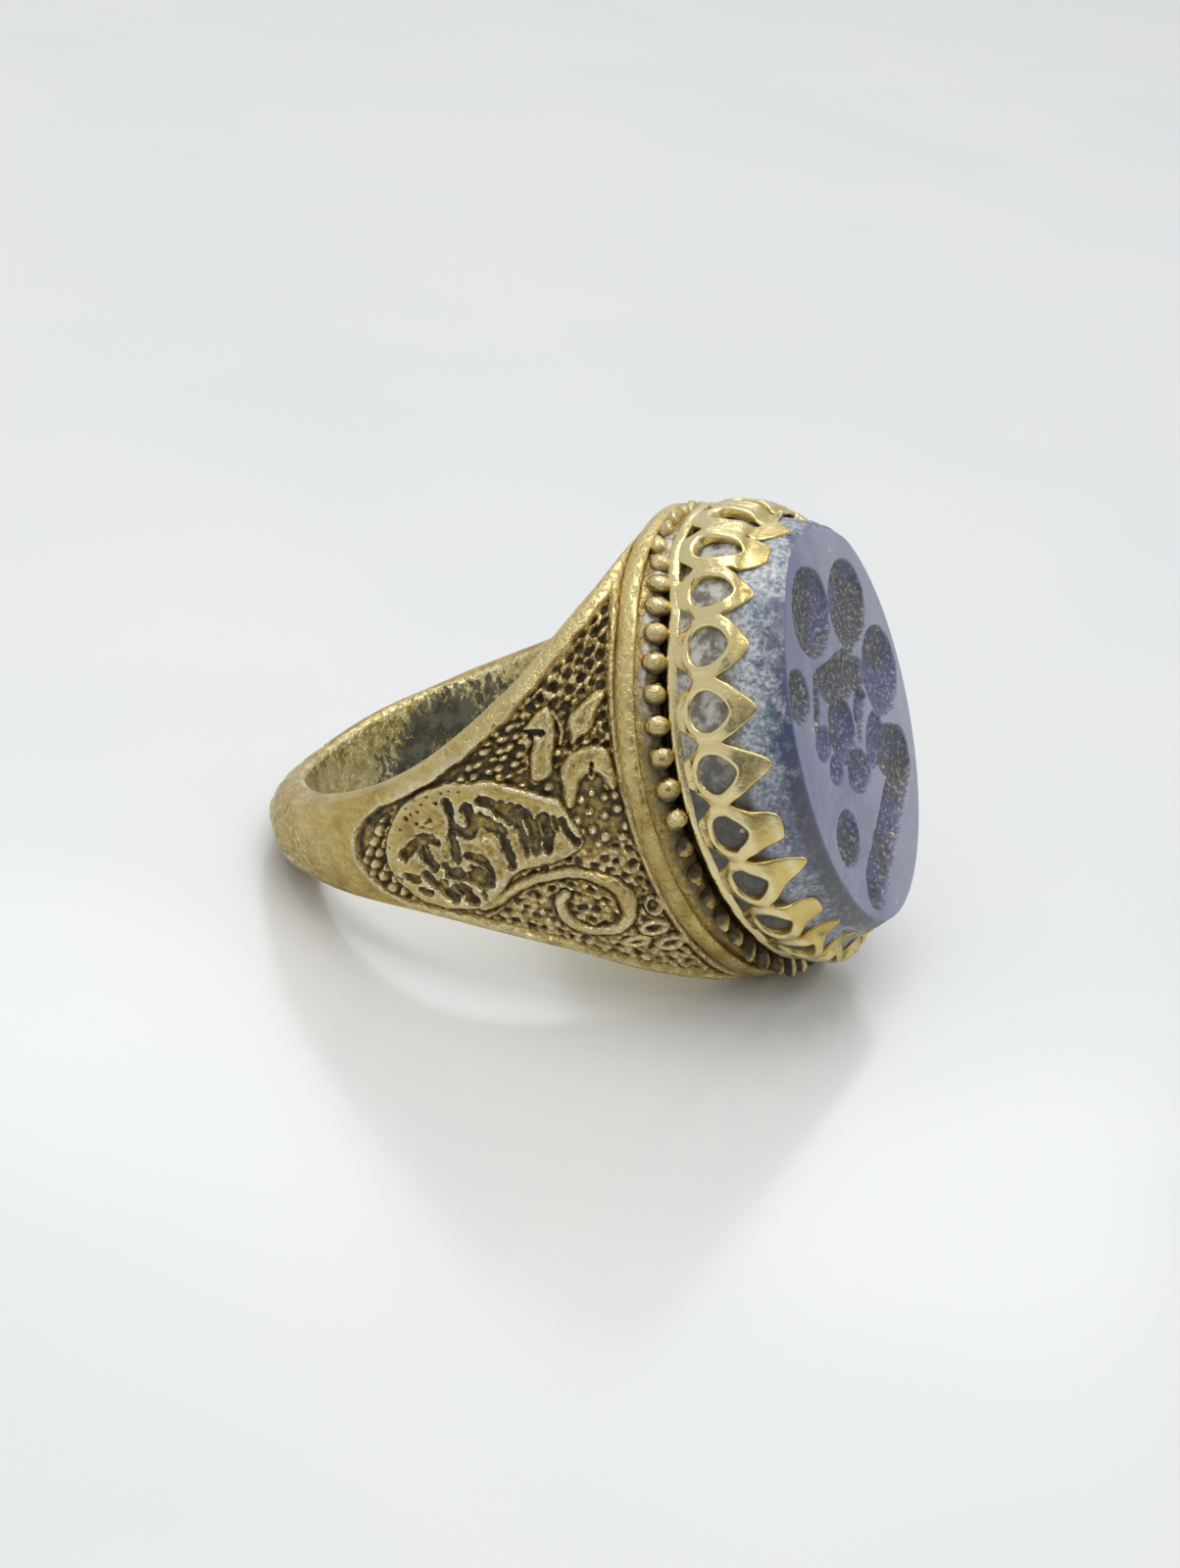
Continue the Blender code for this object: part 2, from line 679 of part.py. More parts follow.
def make_face_cuts(collection, parent):
    """Cutters of the intaglio, one object each because they run into each other."""
    cutters = []
    for i, (across, along, half_x, half_y, turn) in enumerate(OVAL_CUTS):
        bm = bmesh.new()
        cut_shape(bm, half_x, half_y, turn, (across, along))
        cutters.append(as_cutter(mesh_object(f"oval_cut_{i + 1}", bm, collection, parent)))
    for i, (start, end, half) in enumerate(BAR_CUTS):
        bm = bmesh.new()
        run = Vector(end) - Vector(start)
        middle = (Vector(start) + Vector(end)) / 2.0
        turn = math.degrees(math.atan2(run.y, run.x))
        cut_shape(bm, half, half, turn, middle, run.length / 2.0)
        cutters.append(as_cutter(mesh_object(f"bar_cut_{i + 1}", bm, collection, parent)))
    return cutters


def world_points(objects):
    """Corners of the evaluated solids on the ring's own axes."""
    graph = bpy.context.evaluated_depsgraph_get()
    points = []
    for obj in objects:
        mesh = bpy.data.meshes.new_from_object(obj.evaluated_get(graph))
        points += [vert.co.copy() for vert in mesh.vertices]
        bpy.data.meshes.remove(mesh)
    return np.array(points)


def resting_tilt(points):
    """Tilt at which the head's edge and the palm side touch the surface together."""
    low, high = 0.0, math.radians(60.0)
    head = points[points[:, 0] > 0.0]
    palm = points[points[:, 0] < 0.0]
    for _ in range(50):
        tilt = (low + high) / 2.0
        head_low = (head[:, 0] * math.sin(tilt) + head[:, 2] * math.cos(tilt)).min()
        palm_low = (palm[:, 0] * math.sin(tilt) + palm[:, 2] * math.cos(tilt)).min()
        if head_low < palm_low:
            low = tilt
        else:
            high = tilt
    return low


def set_down(parent, parts):
    """Tip the ring to its resting pose, with its box's bottom centre at the origin."""
    points = world_points(parts)
    tilt = resting_tilt(points)
    x = points[:, 0] * math.cos(tilt) - points[:, 2] * math.sin(tilt)
    z = points[:, 0] * math.sin(tilt) + points[:, 2] * math.cos(tilt)
    parent.rotation_euler = (0.0, -tilt, 0.0)
    parent.location = (-(x.min() + x.max()) / 2.0, 0.0, -z.min() - REST_FLAT_CUT * MM)


def make_rest_cutter(collection):
    """Block whose top is the surface that the ring lies on."""
    size = 4.0 * (FACE + PALM_U) * MM
    bm = bmesh.new()
    bmesh.ops.create_cube(bm, size=size, matrix=Matrix.Translation((0.0, 0.0, -size / 2.0)))
    mesh = bpy.data.meshes.new("rest_cutter")
    bm.to_mesh(mesh)
    bm.free()
    return as_cutter(new_object("rest_cutter", mesh, collection, None))


def smooth_shading(obj, angle):
    obj.data.shade_smooth()
    obj.data.set_sharp_from_angle(angle=math.radians(angle))


def main():
    for obj in list(bpy.data.objects):
        bpy.data.objects.remove(obj, do_unlink=True)
    parts = bpy.data.collections.new(PARTS_NAME)
    cutters = bpy.data.collections.new(CUTTERS_NAME)
    bpy.context.scene.collection.children.link(parts)
    bpy.context.scene.collection.children.link(cutters)
    axes = bpy.data.objects.new("ring_axes", None)
    parts.objects.link(axes)

    shank = make_shank_blank(parts, axes)
    boolean(shank, make_field_cutter(cutters, axes), "DIFFERENCE")
    for relief in make_carving(cutters, axes):
        boolean(shank, relief, "UNION")
    boolean(shank, make_beads(cutters, axes), "UNION")
    crown = make_crown(parts, axes)
    stone = make_stone(parts, axes)
    for cutter in make_face_cuts(cutters, axes):
        boolean(stone, cutter, "DIFFERENCE")
    bpy.context.view_layer.update()
    set_down(axes, (shank, crown, stone))
    boolean(shank, make_rest_cutter(cutters), "DIFFERENCE")

    paint(shank, "cast_brass", (0.55, 0.38, 0.13), 0.4, 1.0)
    paint(crown, "polished_brass", (0.72, 0.53, 0.2), 0.25, 1.0)
    paint(stone, "lapis_lazuli", (0.1, 0.12, 0.3), 0.35, 0.0)
    for obj in (shank, crown, stone):
        smooth_shading(obj, 40.0)


main()
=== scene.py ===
# %% [markdown]
# # An intaglio ring, lying on a pale table
#
# The real ring is cast brass: a hoop that widens into two carved shoulders, an
# oval head with a raised edge and a row of beads, and a pierced crown of teeth
# that grips a blue stone with a flat, cut face. The packed solids give its place
# and its size. This lesson gives it the fine relief, the wear and the colours.

# %% The frame and the tools
import math

import bpy
import numpy as np
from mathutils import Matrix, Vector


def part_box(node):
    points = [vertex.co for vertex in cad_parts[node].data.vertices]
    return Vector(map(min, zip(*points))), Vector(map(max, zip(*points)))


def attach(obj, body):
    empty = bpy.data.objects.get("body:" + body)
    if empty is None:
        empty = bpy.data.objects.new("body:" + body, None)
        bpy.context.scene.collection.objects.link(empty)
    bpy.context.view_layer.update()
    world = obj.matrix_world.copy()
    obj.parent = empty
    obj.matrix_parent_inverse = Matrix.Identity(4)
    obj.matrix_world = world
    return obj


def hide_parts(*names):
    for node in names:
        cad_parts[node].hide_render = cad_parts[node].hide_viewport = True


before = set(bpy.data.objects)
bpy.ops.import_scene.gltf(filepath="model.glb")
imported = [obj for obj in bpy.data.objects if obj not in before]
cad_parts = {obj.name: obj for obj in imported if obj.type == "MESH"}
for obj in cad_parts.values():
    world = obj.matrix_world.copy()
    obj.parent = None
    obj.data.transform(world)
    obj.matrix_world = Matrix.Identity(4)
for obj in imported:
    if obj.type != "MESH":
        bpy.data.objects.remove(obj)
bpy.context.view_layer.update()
print("packed solids:", sorted(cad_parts))

# %% [markdown]
# The ring is easiest to draw on its own axes, in millimetres: u runs from the
# middle of the finger hole to the stone, v across the finger and w along it. The
# sizes are the ones the solids were made from, so each fine surface lies where
# its solid is.

# %% The ring's sizes
MM = 0.001

# The finger hole, the walls round it and the hoop's width at the palm
BORE_U, BORE_V = 9.3, 9.0
BORE_CHAMFER = 0.22
PALM_WALL, SIDE_WALL, RIM_WALL = 1.55, 1.65, 1.25
PALM_HALF, RIM_STEP = 1.3, 0.33
PALM_U = BORE_U + PALM_WALL
PLAN_V = BORE_V + SIDE_WALL

# The palm's domed back: its rise, the cut of its top corner, and where it begins
PALM_DOME, PALM_TOP_CUT = 0.4, 0.35
PALM_START, PALM_RUN = 15.0, 4.0

# How much of its growth in width the hoop has at each angle from the head
FLARE = ((0, 1.0), (40, 0.776), (65, 0.463), (90, 0.205), (120, 0.07), (150, 0.035), (180, 0.0))

# The oval head, and the bed that the crown stands on
CROWN_W, CROWN_V = 9.7, 7.6
HEAD_W, HEAD_V = CROWN_W + 0.33, CROWN_V + 0.86
HEAD_RIM_HALF = HEAD_W - RIM_STEP
SADDLE, HEAD_LEAN = 0.46, -0.027
BED = BORE_U + 0.88
RIDGE_BACK = BED - 1.05

# The sunk field of a shoulder, and the smooth strips that frame it
FIELD_LENGTH, FIELD_END_LENGTH, FIELD_HEAD_MARGIN = 12.3, 2.4, 0.16
STRIP_PALM, STRIP_HEAD, LOW_STRIP = 0.62, 1.05, 0.5

# The crown and the stone, level by level
CROWN_FOOT = BED + 0.25
CROWN_RIM = CROWN_FOOT + 0.6
CROWN_WALL = 0.34
FOOT_SADDLE, CROWN_SADDLE, TIP_SADDLE, TIP_LEAN = 0.42, 0.4, 0.15, 0.02
LIP_RISE, BELLY_RISE, TIP_RISE, STONE_RISE = 0.4, 1.7, 3.45, 4.45
BELLY, TIP, FACE = CROWN_RIM + BELLY_RISE, CROWN_RIM + TIP_RISE, CROWN_RIM + STONE_RISE
FACE_W, FACE_V = 8.35, 6.68
print("crown's foot at", round(CROWN_FOOT, 2), "mm, face at", round(FACE, 2), "mm")

# %% [markdown]
# The ring lies tipped, on the head's edge and on the palm side of the hoop. Each
# piece could be turned as an object, but a finished object stays at the origin
# and unturned, so the points are turned instead. The top end of the head was
# pressed in by wear, hoop, crown and stone alike, so that is done here too.

# %% From the ring's axes to the scene
REST_TILT = math.radians(23.45475)
RING_CENTRE = np.array((-3.70634, 0.0, 5.27744))
WORN_END, WORN_RUN = 6.5, 3.5
WORN_IN, WORN_DOWN = 0.5, 0.34


def smooth(x):
    """Ease from 0 to 1."""
    x = np.clip(x, 0.0, 1.0)
    return x * x * (3.0 - 2.0 * x)


def to_world(points):
    """Points on the ring's axes in mm, as points of the scene in metres."""
    u, v, w = points[..., 0], points[..., 1], points[..., 2]
    worn = smooth((w - WORN_END) / WORN_RUN) * np.clip((u - 5.0) / 4.0, 0.0, 1.0)
    u, w = u - WORN_IN * worn, w - WORN_DOWN * worn
    x = u * math.cos(REST_TILT) - w * math.sin(REST_TILT)
    z = u * math.sin(REST_TILT) + w * math.cos(REST_TILT)
    return (np.stack([x, v, z], axis=-1) + RING_CENTRE) * MM


stone_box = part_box("lapis_intaglio")
print("stone's solid, mm:", [round(float(c) / MM, 2) for corner in stone_box for c in corner])

# %% [markdown]
# A worn, hand-made surface is never quite even. Soft noise from a hashed lattice
# gives the same small unevenness on every run, without any chance in it.


# %% Noise
def lattice(i, j, seed):
    """Fixed value from 0 to 1 for each lattice point, from a hash of its numbers."""
    n = (i * 73856093) ^ (j * 19349663) ^ (seed * 83492791)
    n = (n & 0x7FFFFFFF) * 48271 % 2147483647
    n = (n ^ (n >> 13)) * 69621 % 2147483647
    return (n % 65536) / 65535.0


def soft_noise(x, y, seed):
    """Smooth noise from -1 to 1, one bump to a unit."""
    i, j = np.floor(x).astype(np.int64), np.floor(y).astype(np.int64)
    a, b = smooth(x - i), smooth(y - j)
    low = lattice(i, j, seed) * (1 - a) + lattice(i + 1, j, seed) * a
    high = lattice(i, j + 1, seed) * (1 - a) + lattice(i + 1, j + 1, seed) * a
    return 2.0 * (low * (1 - b) + high * b) - 1.0


def rough_noise(x, y, seed, layers=3):
    """Several layers of noise, each finer and lower than the last."""
    total = np.zeros_like(x)
    for k in range(layers):
        total += soft_noise(x * 2.0 ** k, y * 2.0 ** k, seed + 17 * k) * 0.55 ** k
    return total


print("noise at one point:", round(float(soft_noise(np.array(0.3), np.array(0.7), 5)), 3))

# %% [markdown]
# The carving is drawn as lines, as a carver would scratch it on first. A line of a
# few points is rounded by cutting its corners off, and then each point of the
# surface only has to know how far it is from the line, and on which side.


# %% Lines and blurring
def rounded(path, closed=False, turns=3):
    """Path with its corners cut off again and again until it is smooth."""
    points = np.array(path, float)
    for _ in range(turns):
        ahead = np.roll(points, -1, axis=0) if closed else points[1:]
        here = points if closed else points[:-1]
        cut = np.stack([0.75 * here + 0.25 * ahead, 0.25 * here + 0.75 * ahead], axis=1)
        cut = cut.reshape(-1, 2)
        points = cut if closed else np.vstack([points[:1], cut, points[-1:]])
    return np.vstack([points, points[:1]]) if closed else points


def path_distance(x, y, path):
    """Distance of each point from a path."""
    best = np.full(x.shape, 1e9)
    for (ax, ay), (bx, by) in zip(path, path[1:]):
        dx, dy = bx - ax, by - ay
        along = np.clip(((x - ax) * dx + (y - ay) * dy) / (dx * dx + dy * dy + 1e-12), 0.0, 1.0)
        best = np.minimum(best, np.hypot(x - ax - along * dx, y - ay - along * dy))
    return best


def inside_path(x, y, path):
    """Whether each point is inside a closed path."""
    inside = np.zeros(x.shape, bool)
    for (ax, ay), (bx, by) in zip(path, path[1:]):
        crosses = (ay > y) != (by > y)
        inside ^= crosses & (x < (bx - ax) * (y - ay) / (by - ay + 1e-12) + ax)
    return inside


def into_path(x, y, path):
    """Distance inside a closed path, negative outside it."""
    return path_distance(x, y, path) * np.where(inside_path(x, y, path), 1.0, -1.0)


def blurred(values, times):
    """Grid of values evened out with its neighbours."""
    for _ in range(times):
        edge = np.pad(values, 1, mode="edge")
        values = (2 * values + edge[:-2, 1:-1] + edge[2:, 1:-1] + edge[1:-1, :-2] + edge[1:-1, 2:]) / 6
    return values


print("a rounded square has", len(rounded(((0, 0), (1, 0), (1, 1), (0, 1)), closed=True)), "points")

# %% [markdown]
# Carved surfaces are sheets of points. A grid primitive gives the sheet, and its
# points are then put in their places, as a sculptor would pull them. Sheets that
# share an edge are joined and their doubled points merged, so the piece is closed.


# %% Sheets, joining and finishing
def pick_only(*objects):
    """Select these objects alone."""
    bpy.ops.object.select_all(action="DESELECT")
    for obj in objects:
        obj.select_set(True)
    bpy.context.view_layer.objects.active = objects[0]


def add_sheet(name, points, **layers):
    """Grid primitive whose points are moved to the given places."""
    rows, columns = points.shape[:2]
    bpy.ops.object.select_all(action="DESELECT")
    bpy.ops.mesh.primitive_grid_add(x_subdivisions=columns - 1, y_subdivisions=rows - 1, size=MM)
    sheet = bpy.context.object
    sheet.name = name
    placed = to_world(points)
    placed[..., 2] = np.maximum(placed[..., 2], 0.0)
    sheet.data.vertices.foreach_set("co", placed.reshape(-1).astype(np.float32))
    for layer, values in layers.items():
        data = sheet.data.attributes.new(layer, "FLOAT", "POINT").data
        data.foreach_set("value", np.asarray(values, np.float32).reshape(-1))
    sheet.data.uv_layers.remove(sheet.data.uv_layers[0])
    sheet.data.update()
    return sheet


def join_sheets(sheets, name, merge=0.002, sharp=50.0):
    """Join sheets to one closed piece with its faces outwards."""
    pick_only(*sheets)
    if len(sheets) > 1:
        bpy.ops.object.join()
    piece = bpy.context.object
    piece.name = name
    piece.data.name = name
    bpy.ops.object.mode_set(mode="EDIT")
    bpy.ops.mesh.select_all(action="SELECT")
    bpy.ops.mesh.remove_doubles(threshold=merge * MM)
    bpy.ops.mesh.normals_make_consistent(inside=False)
    bpy.ops.object.mode_set(mode="OBJECT")
    bpy.ops.object.shade_smooth_by_angle(angle=math.radians(sharp))
    return piece


def describe(piece):
    """Print how many triangles a piece has and its size."""
    triangles = sum(len(p.vertices) - 2 for p in piece.data.polygons)
    points = np.empty(len(piece.data.vertices) * 3, np.float32)
    piece.data.vertices.foreach_get("co", points)
    points = points.reshape(-1, 3)
    size = (points.max(axis=0) - points.min(axis=0)) / MM
    print(f"{piece.name}: {triangles} triangles, {size.round(1)} mm")


# %% [markdown]
# The hoop is drawn as sections. Each section is at a distance q back from the
# head, measured round the outside, and gives the rim's edge, the outermost point
# and the half width. The same rules shaped the solid, so the fine sheet lies on it.


# %% Sections of the hoop
def curve_through(points, x):
    """Height at x of a smooth curve through (x, height) points."""
    px, py = np.array(points, float).T
    slope = np.gradient(py, px)
    slope[0] = slope[-1] = 0.0
    i = np.clip(np.searchsorted(px, x) - 1, 0, len(px) - 2)
    step = px[i + 1] - px[i]
    t = np.clip((x - px[i]) / step, 0.0, 1.0)
    ease = t * t * (3.0 - 2.0 * t)
    lift = t * (1.0 - t) ** 2 * slope[i] - t * t * (1.0 - t) * slope[i + 1]
    return py[i] * (1.0 - ease) + py[i + 1] * ease + lift * step


def rim_half(angle):
    """Half width of the hoop at its hole."""
    return PALM_HALF + (HEAD_RIM_HALF - PALM_HALF) * curve_through(FLARE, np.degrees(angle))


RISE_END = math.radians(50.0)
plan_back = RIDGE_BACK - SADDLE
plan_u = np.linspace(plan_back, 0.0, 160)
plan_v = -(PLAN_V - (PLAN_V - HEAD_V) * (plan_u / plan_back) ** 2)
plan_turn = np.linspace(math.pi / 2, math.pi, 200)[1:]
PLAN_OUT_U = np.concatenate([plan_u, PALM_U * np.cos(plan_turn)])
PLAN_OUT_V = np.concatenate([plan_v, -PLAN_V * np.sin(plan_turn)])
PLAN_RUN = np.concatenate([[0.0], np.cumsum(np.hypot(np.diff(PLAN_OUT_U), np.diff(PLAN_OUT_V)))])
HALF_HOOP, SHOULDER_END = float(PLAN_RUN[-1]), float(PLAN_RUN[len(plan_u) - 1])


def hoop_section(q):
    """Rim edge, outermost point, half width, hoop angle and share of the head's form."""
    out_u = np.interp(q, PLAN_RUN, PLAN_OUT_U)
    out_v = np.interp(q, PLAN_RUN, PLAN_OUT_V)
    head_share = smooth(out_u / plan_back)
    wall = RIM_WALL + (RIDGE_BACK + SADDLE - BORE_U - RIM_WALL) * head_share
    reach = np.where(out_u > 0.0, BORE_U + wall, PALM_U)
    angle = np.arccos(np.clip((out_u + 2.0 * SADDLE * head_share) / reach, -1.0, 1.0))
    top_u, top_v = (BORE_U + wall) * np.cos(angle), -(BORE_V + wall) * np.sin(angle)
    rise = (HEAD_W - HEAD_RIM_HALF) * (1.0 - smooth(angle / RISE_END))
    form = 1.0 - smooth(q / SHOULDER_END)
    return top_u, top_v, out_u, out_v, rim_half(angle) + rise, angle, form


def shoulder_points(q, share):
    """Points on the outside at q, at a share of the half width from -1 to 1."""
    top_u, top_v, out_u, out_v, half, _, form = hoop_section(q)
    fall = np.sqrt(np.clip(1.0 - share ** 2, 0.0, 1.0))
    u = top_u + (out_u - top_u) * fall ** (0.55 + 1.45 * form)
    v = top_v + (out_v - top_v) * fall ** (0.55 + 0.45 * form)
    w = half * share
    domed = PALM_DOME * smooth((0.62 - share) / 0.5) - PALM_TOP_CUT * smooth((share - 0.6) / 0.35)
    domed = domed * (1.0 - 0.4 * smooth((-share - 0.75) / 0.25)) * smooth((q - PALM_START) / PALM_RUN)
    u = u + HEAD_LEAN * w * form - domed * math.cos(REST_TILT)
    return np.stack([u, v, w + domed * math.sin(REST_TILT)], axis=-1)


def field_edge(q, low=False):
    """Share of the half width at which the smooth rim strip ends; the low strip is narrow."""
    strip = STRIP_PALM + (STRIP_HEAD - STRIP_PALM) * smooth(1.0 - q / FIELD_LENGTH)
    return 1.0 - strip * np.where(low, LOW_STRIP, 1.0) / hoop_section(q)[4]


print("half hoop", round(HALF_HOOP, 2), "mm, shoulder", round(SHOULDER_END, 2), "mm")

# %% [markdown]
# Each shoulder carries a sunk field, as a die cutter would sink it: a smooth rim
# strip all round, a large leaf, a scroll that curls round its own granules, a
# trunk, a bud and an arch near the head, and small granules over all that is left.
# Everything is given by its distance back from the head and its height.

# %% Outlines of the carving
LEAF = rounded((
    (10.68, -0.4), (10.55, 0.3), (10.1, 1.05), (9.5, 1.7), (8.9, 2.12), (8.2, 2.46), (7.0, 2.62),
    (6.0, 2.54), (5.0, 2.3), (4.2, 1.95), (3.3, 1.46), (2.62, 1.1), (2.6, 0.75), (2.35, 0.15),
    (2.12, -0.5), (2.2, -1.0), (2.9, -1.35), (3.6, -1.42), (4.6, -1.4), (5.3, -1.62), (5.9, -2.3),
    (6.5, -2.72), (7.4, -2.9), (8.4, -2.72), (9.3, -2.38), (10.0, -1.88), (10.45, -1.3),
), closed=True)
SCROLL = rounded((
    (6.9, -2.84), (5.9, -2.5), (4.9, -2.08), (3.8, -1.92), (2.7, -2.1), (1.95, -2.55), (1.45, -3.2),
    (1.35, -3.9), (1.6, -4.55), (2.2, -4.95), (3.0, -4.92), (3.7, -4.5), (4.02, -3.85), (3.95, -3.2),
    (3.6, -2.95),
))
TRUNK = rounded((
    (3.82, 4.1), (3.5, 4.4), (3.25, 4.75), (2.9, 4.92), (2.6, 4.88), (2.46, 4.5), (2.4, 4.0),
    (2.44, 3.55), (2.56, 3.1), (2.66, 2.6), (2.74, 2.2), (3.1, 2.04), (3.64, 2.02), (3.64, 2.6),
    (3.48, 3.2), (3.3, 3.6), (3.4, 3.95),
), closed=True, turns=2)
BUD = rounded((
    (1.88, 3.22), (1.72, 3.6), (1.98, 4.05), (1.8, 4.38), (1.42, 4.6), (1.1, 4.85), (0.75, 5.02),
    (0.36, 4.95), (0.34, 4.7), (0.6, 4.45), (0.74, 4.1), (0.8, 3.8), (1.05, 3.5), (1.45, 3.42),
    (1.68, 3.15),
), closed=True, turns=2)
ARCH = rounded((
    (2.52, 0.62), (2.52, 1.3), (2.46, 1.9), (2.42, 2.3), (2.18, 2.68), (1.78, 2.9), (1.2, 3.02),
    (0.72, 3.0), (0.42, 2.8), (0.34, 2.3), (0.3, 1.7), (0.34, 1.0), (0.6, 1.0), (0.72, 1.5), (0.85, 1.78),
    (1.15, 1.9), (1.5, 1.86), (1.8, 1.66), (1.96, 1.3), (2.08, 0.95), (2.25, 0.58),
), closed=True, turns=2)
# The middle of each seed, its half length and its half height
SEEDS = ((0.95, -5.3, 0.62, 0.34), (0.75, -6.2, 0.6, 0.3), (1.95, -5.75, 0.55, 0.24), (0.55, -4.3, 0.34, 0.5))
# Small notches in the palm's edges
PALM_NOTCHES = tuple((17.6 + 0.4 * k, -0.95 - 0.2 * (k % 2)) for k in range(7)) + (
    (25.1, 1.15), (24.7, 0.95), (24.6, 0.2), (24.0, -0.05), (23.0, 0.5), (23.5, 0.8), (22.2, 0.95),
)
FIELD_DEPTH, LEAF_TOP = 0.42, 0.42
print("leaf outline of", len(LEAF), "points")

# %% [markdown]
# The leaf is solid metal with hollows cut into it, so it is an outline with a list
# of gouge strokes, each with a half width, a depth and a path. The casting left
# small pits, and a few crests stand up where the metal was pushed aside.

# %% Gouge strokes and pits
GOUGES = tuple((rounded(path, turns=2), half, deep) for half, deep, path in (
    (0.15, 0.32, ((9.8, -0.3), (9.5, 0.0), (9.2, 0.2), (8.8, 0.4), (8.45, 0.42), (8.2, 0.22))),
    (0.19, 0.32, ((8.95, 0.15), (8.8, -0.3), (8.58, -0.78))),
    (0.12, 0.38, ((7.3, 1.88), (7.2, 1.5), (7.3, 0.95), (7.45, 0.45), (7.4, -0.05), (7.52, -0.78))),
    (0.17, 0.38, ((7.3, 0.75), (7.0, 0.5), (6.7, 0.36), (6.5, 0.5), (6.42, 0.95), (6.5, 1.5))),
    (0.15, 0.38, ((5.88, 1.66), (5.6, 1.5), (5.35, 1.25), (5.1, 0.95))),
    (0.2, 0.38, ((6.05, 0.95), (5.85, 0.62), (5.55, 0.45), (5.35, 0.22))),
    (0.12, 0.34, ((5.05, 1.4), (5.0, 1.0), (4.92, 0.6))),
    (0.13, 0.36, ((4.7, 1.2), (4.62, 0.8), (4.55, 0.4))),
    (0.16, 0.37, ((4.35, 1.0), (4.1, 0.75), (3.95, 0.35), (4.0, -0.1), (4.12, -0.72))),
    (0.14, 0.2, ((4.5, 0.0), (4.4, -0.45), (4.5, -0.8))),
    (0.17, 0.37, ((3.52, 0.55), (3.5, 0.1), (3.45, -0.4), (3.6, -0.76))),
    (0.1, 0.26, ((3.1, 0.45), (3.1, -0.1))), (0.13, 0.36, ((2.78, 0.25), (2.65, -0.35), (2.4, -0.8))),
    (0.13, 0.37, ((5.35, 0.0), (5.3, -0.5), (5.2, -1.0), (5.25, -1.22))),
    (0.13, 0.36, ((6.95, -0.62), (6.6, -0.75), (6.3, -1.0), (6.2, -1.4), (6.35, -1.85))),
    (0.2, 0.37, ((7.05, -1.5), (6.75, -1.78), (6.5, -1.65))), (0.1, 0.28, ((6.95, -1.15), (6.65, -1.3))),
    (0.1, 0.3, ((8.06, -0.85), (8.0, -1.05))), (0.2, 0.37, ((7.9, -1.2), (7.55, -1.32))),
    (0.15, 0.35, ((8.98, -1.15), (8.75, -1.55), (8.45, -1.75))),
    (0.14, 0.35, ((8.3, -1.55), (8.28, -2.0), (8.02, -2.36))), (0.1, 0.3, ((7.9, -1.85), (7.75, -2.15))),
    (0.15, 0.35, ((7.6, -1.95), (7.4, -2.3), (7.2, -2.5))), (0.14, 0.3, ((9.78, -1.15), (9.42, -1.3))),
    (0.09, 0.24, ((10.35, -1.12), (10.18, -1.28))), (0.07, 0.22, ((6.76, -2.18), (6.7, -2.36))),
    (0.1, 0.3, ((9.35, -1.75), (9.0, -1.9))),
))
PIT_DEPTH = 0.16
# The middle of each pit and its radius
PITS = (
    (9.2, 1.32, 0.11), (8.9, 1.5, 0.06), (9.05, 1.76, 0.05), (8.55, 1.6, 0.07), (8.16, 1.16, 0.11),
    (8.3, 1.1, 0.08), (8.75, 1.1, 0.06), (8.6, 2.16, 0.05), (7.75, 1.86, 0.09), (8.55, 0.94, 0.05),
    (9.6, 0.9, 0.05), (8.02, 2.2, 0.05), (7.35, 2.24, 0.05), (6.62, 2.2, 0.05), (10.3, 0.2, 0.04),
    (10.45, -0.9, 0.06), (8.3, 1.9, 0.05), (7.0, 2.3, 0.04),
)
CRESTS = tuple((rounded(path, turns=2), half, top) for half, top, path in (
    (0.15, 0.08, ((4.7, 2.02), (3.6, 1.56), (2.8, 1.12))),
    (0.12, 0.07, ((6.0, 1.42), (5.72, 1.1), (5.45, 0.74))),
    (0.13, 0.08, ((6.1, 0.12), (5.8, -0.12), (5.48, -0.5))), (0.11, 0.07, ((5.82, -0.72), (5.58, -0.92))),
))
print(len(GOUGES), "gouge strokes,", len(PITS), "pits,", len(CRESTS), "crests")

# %% [markdown]
# The ground between the motifs is small granules. They could be separate balls,
# but cast ones melt into the metal, so they are domes on a jittered grid of offset
# rows. Size, slant and order change from place to place, as on the real ring.


# %% Granules of the ground
def granules(q, w, seed, size, slant, jitter, reach):
    """Height of small domes in offset rows."""
    turn = math.radians(slant)
    along = (q * math.cos(turn) - w * math.sin(turn)) / size[0]
    across = (q * math.sin(turn) + w * math.cos(turn)) / size[1]
    height = np.zeros_like(q)
    row = np.floor(across)
    for dj in (-1, 0, 1):
        j = (row + dj).astype(np.int64)
        shift = 0.5 * (j % 2)
        cell = np.floor(along - shift)
        for di in (-1, 0, 1):
            i = (cell + di).astype(np.int64)
            x = i + shift + 0.5 + jitter * (lattice(i, j, seed) - 0.5)
            y = j + 0.5 + jitter * (lattice(i, j, seed + 3) - 0.5)
            far = np.hypot(along - x, across - y) / (reach * (0.88 + 0.26 * lattice(i, j, seed + 7)))
            dome = (0.7 + 0.5 * lattice(i, j, seed + 11)) * np.clip(1.0 - far ** 2, 0.0, 1.0) ** 0.8
            height = np.maximum(height, dome)
    return height


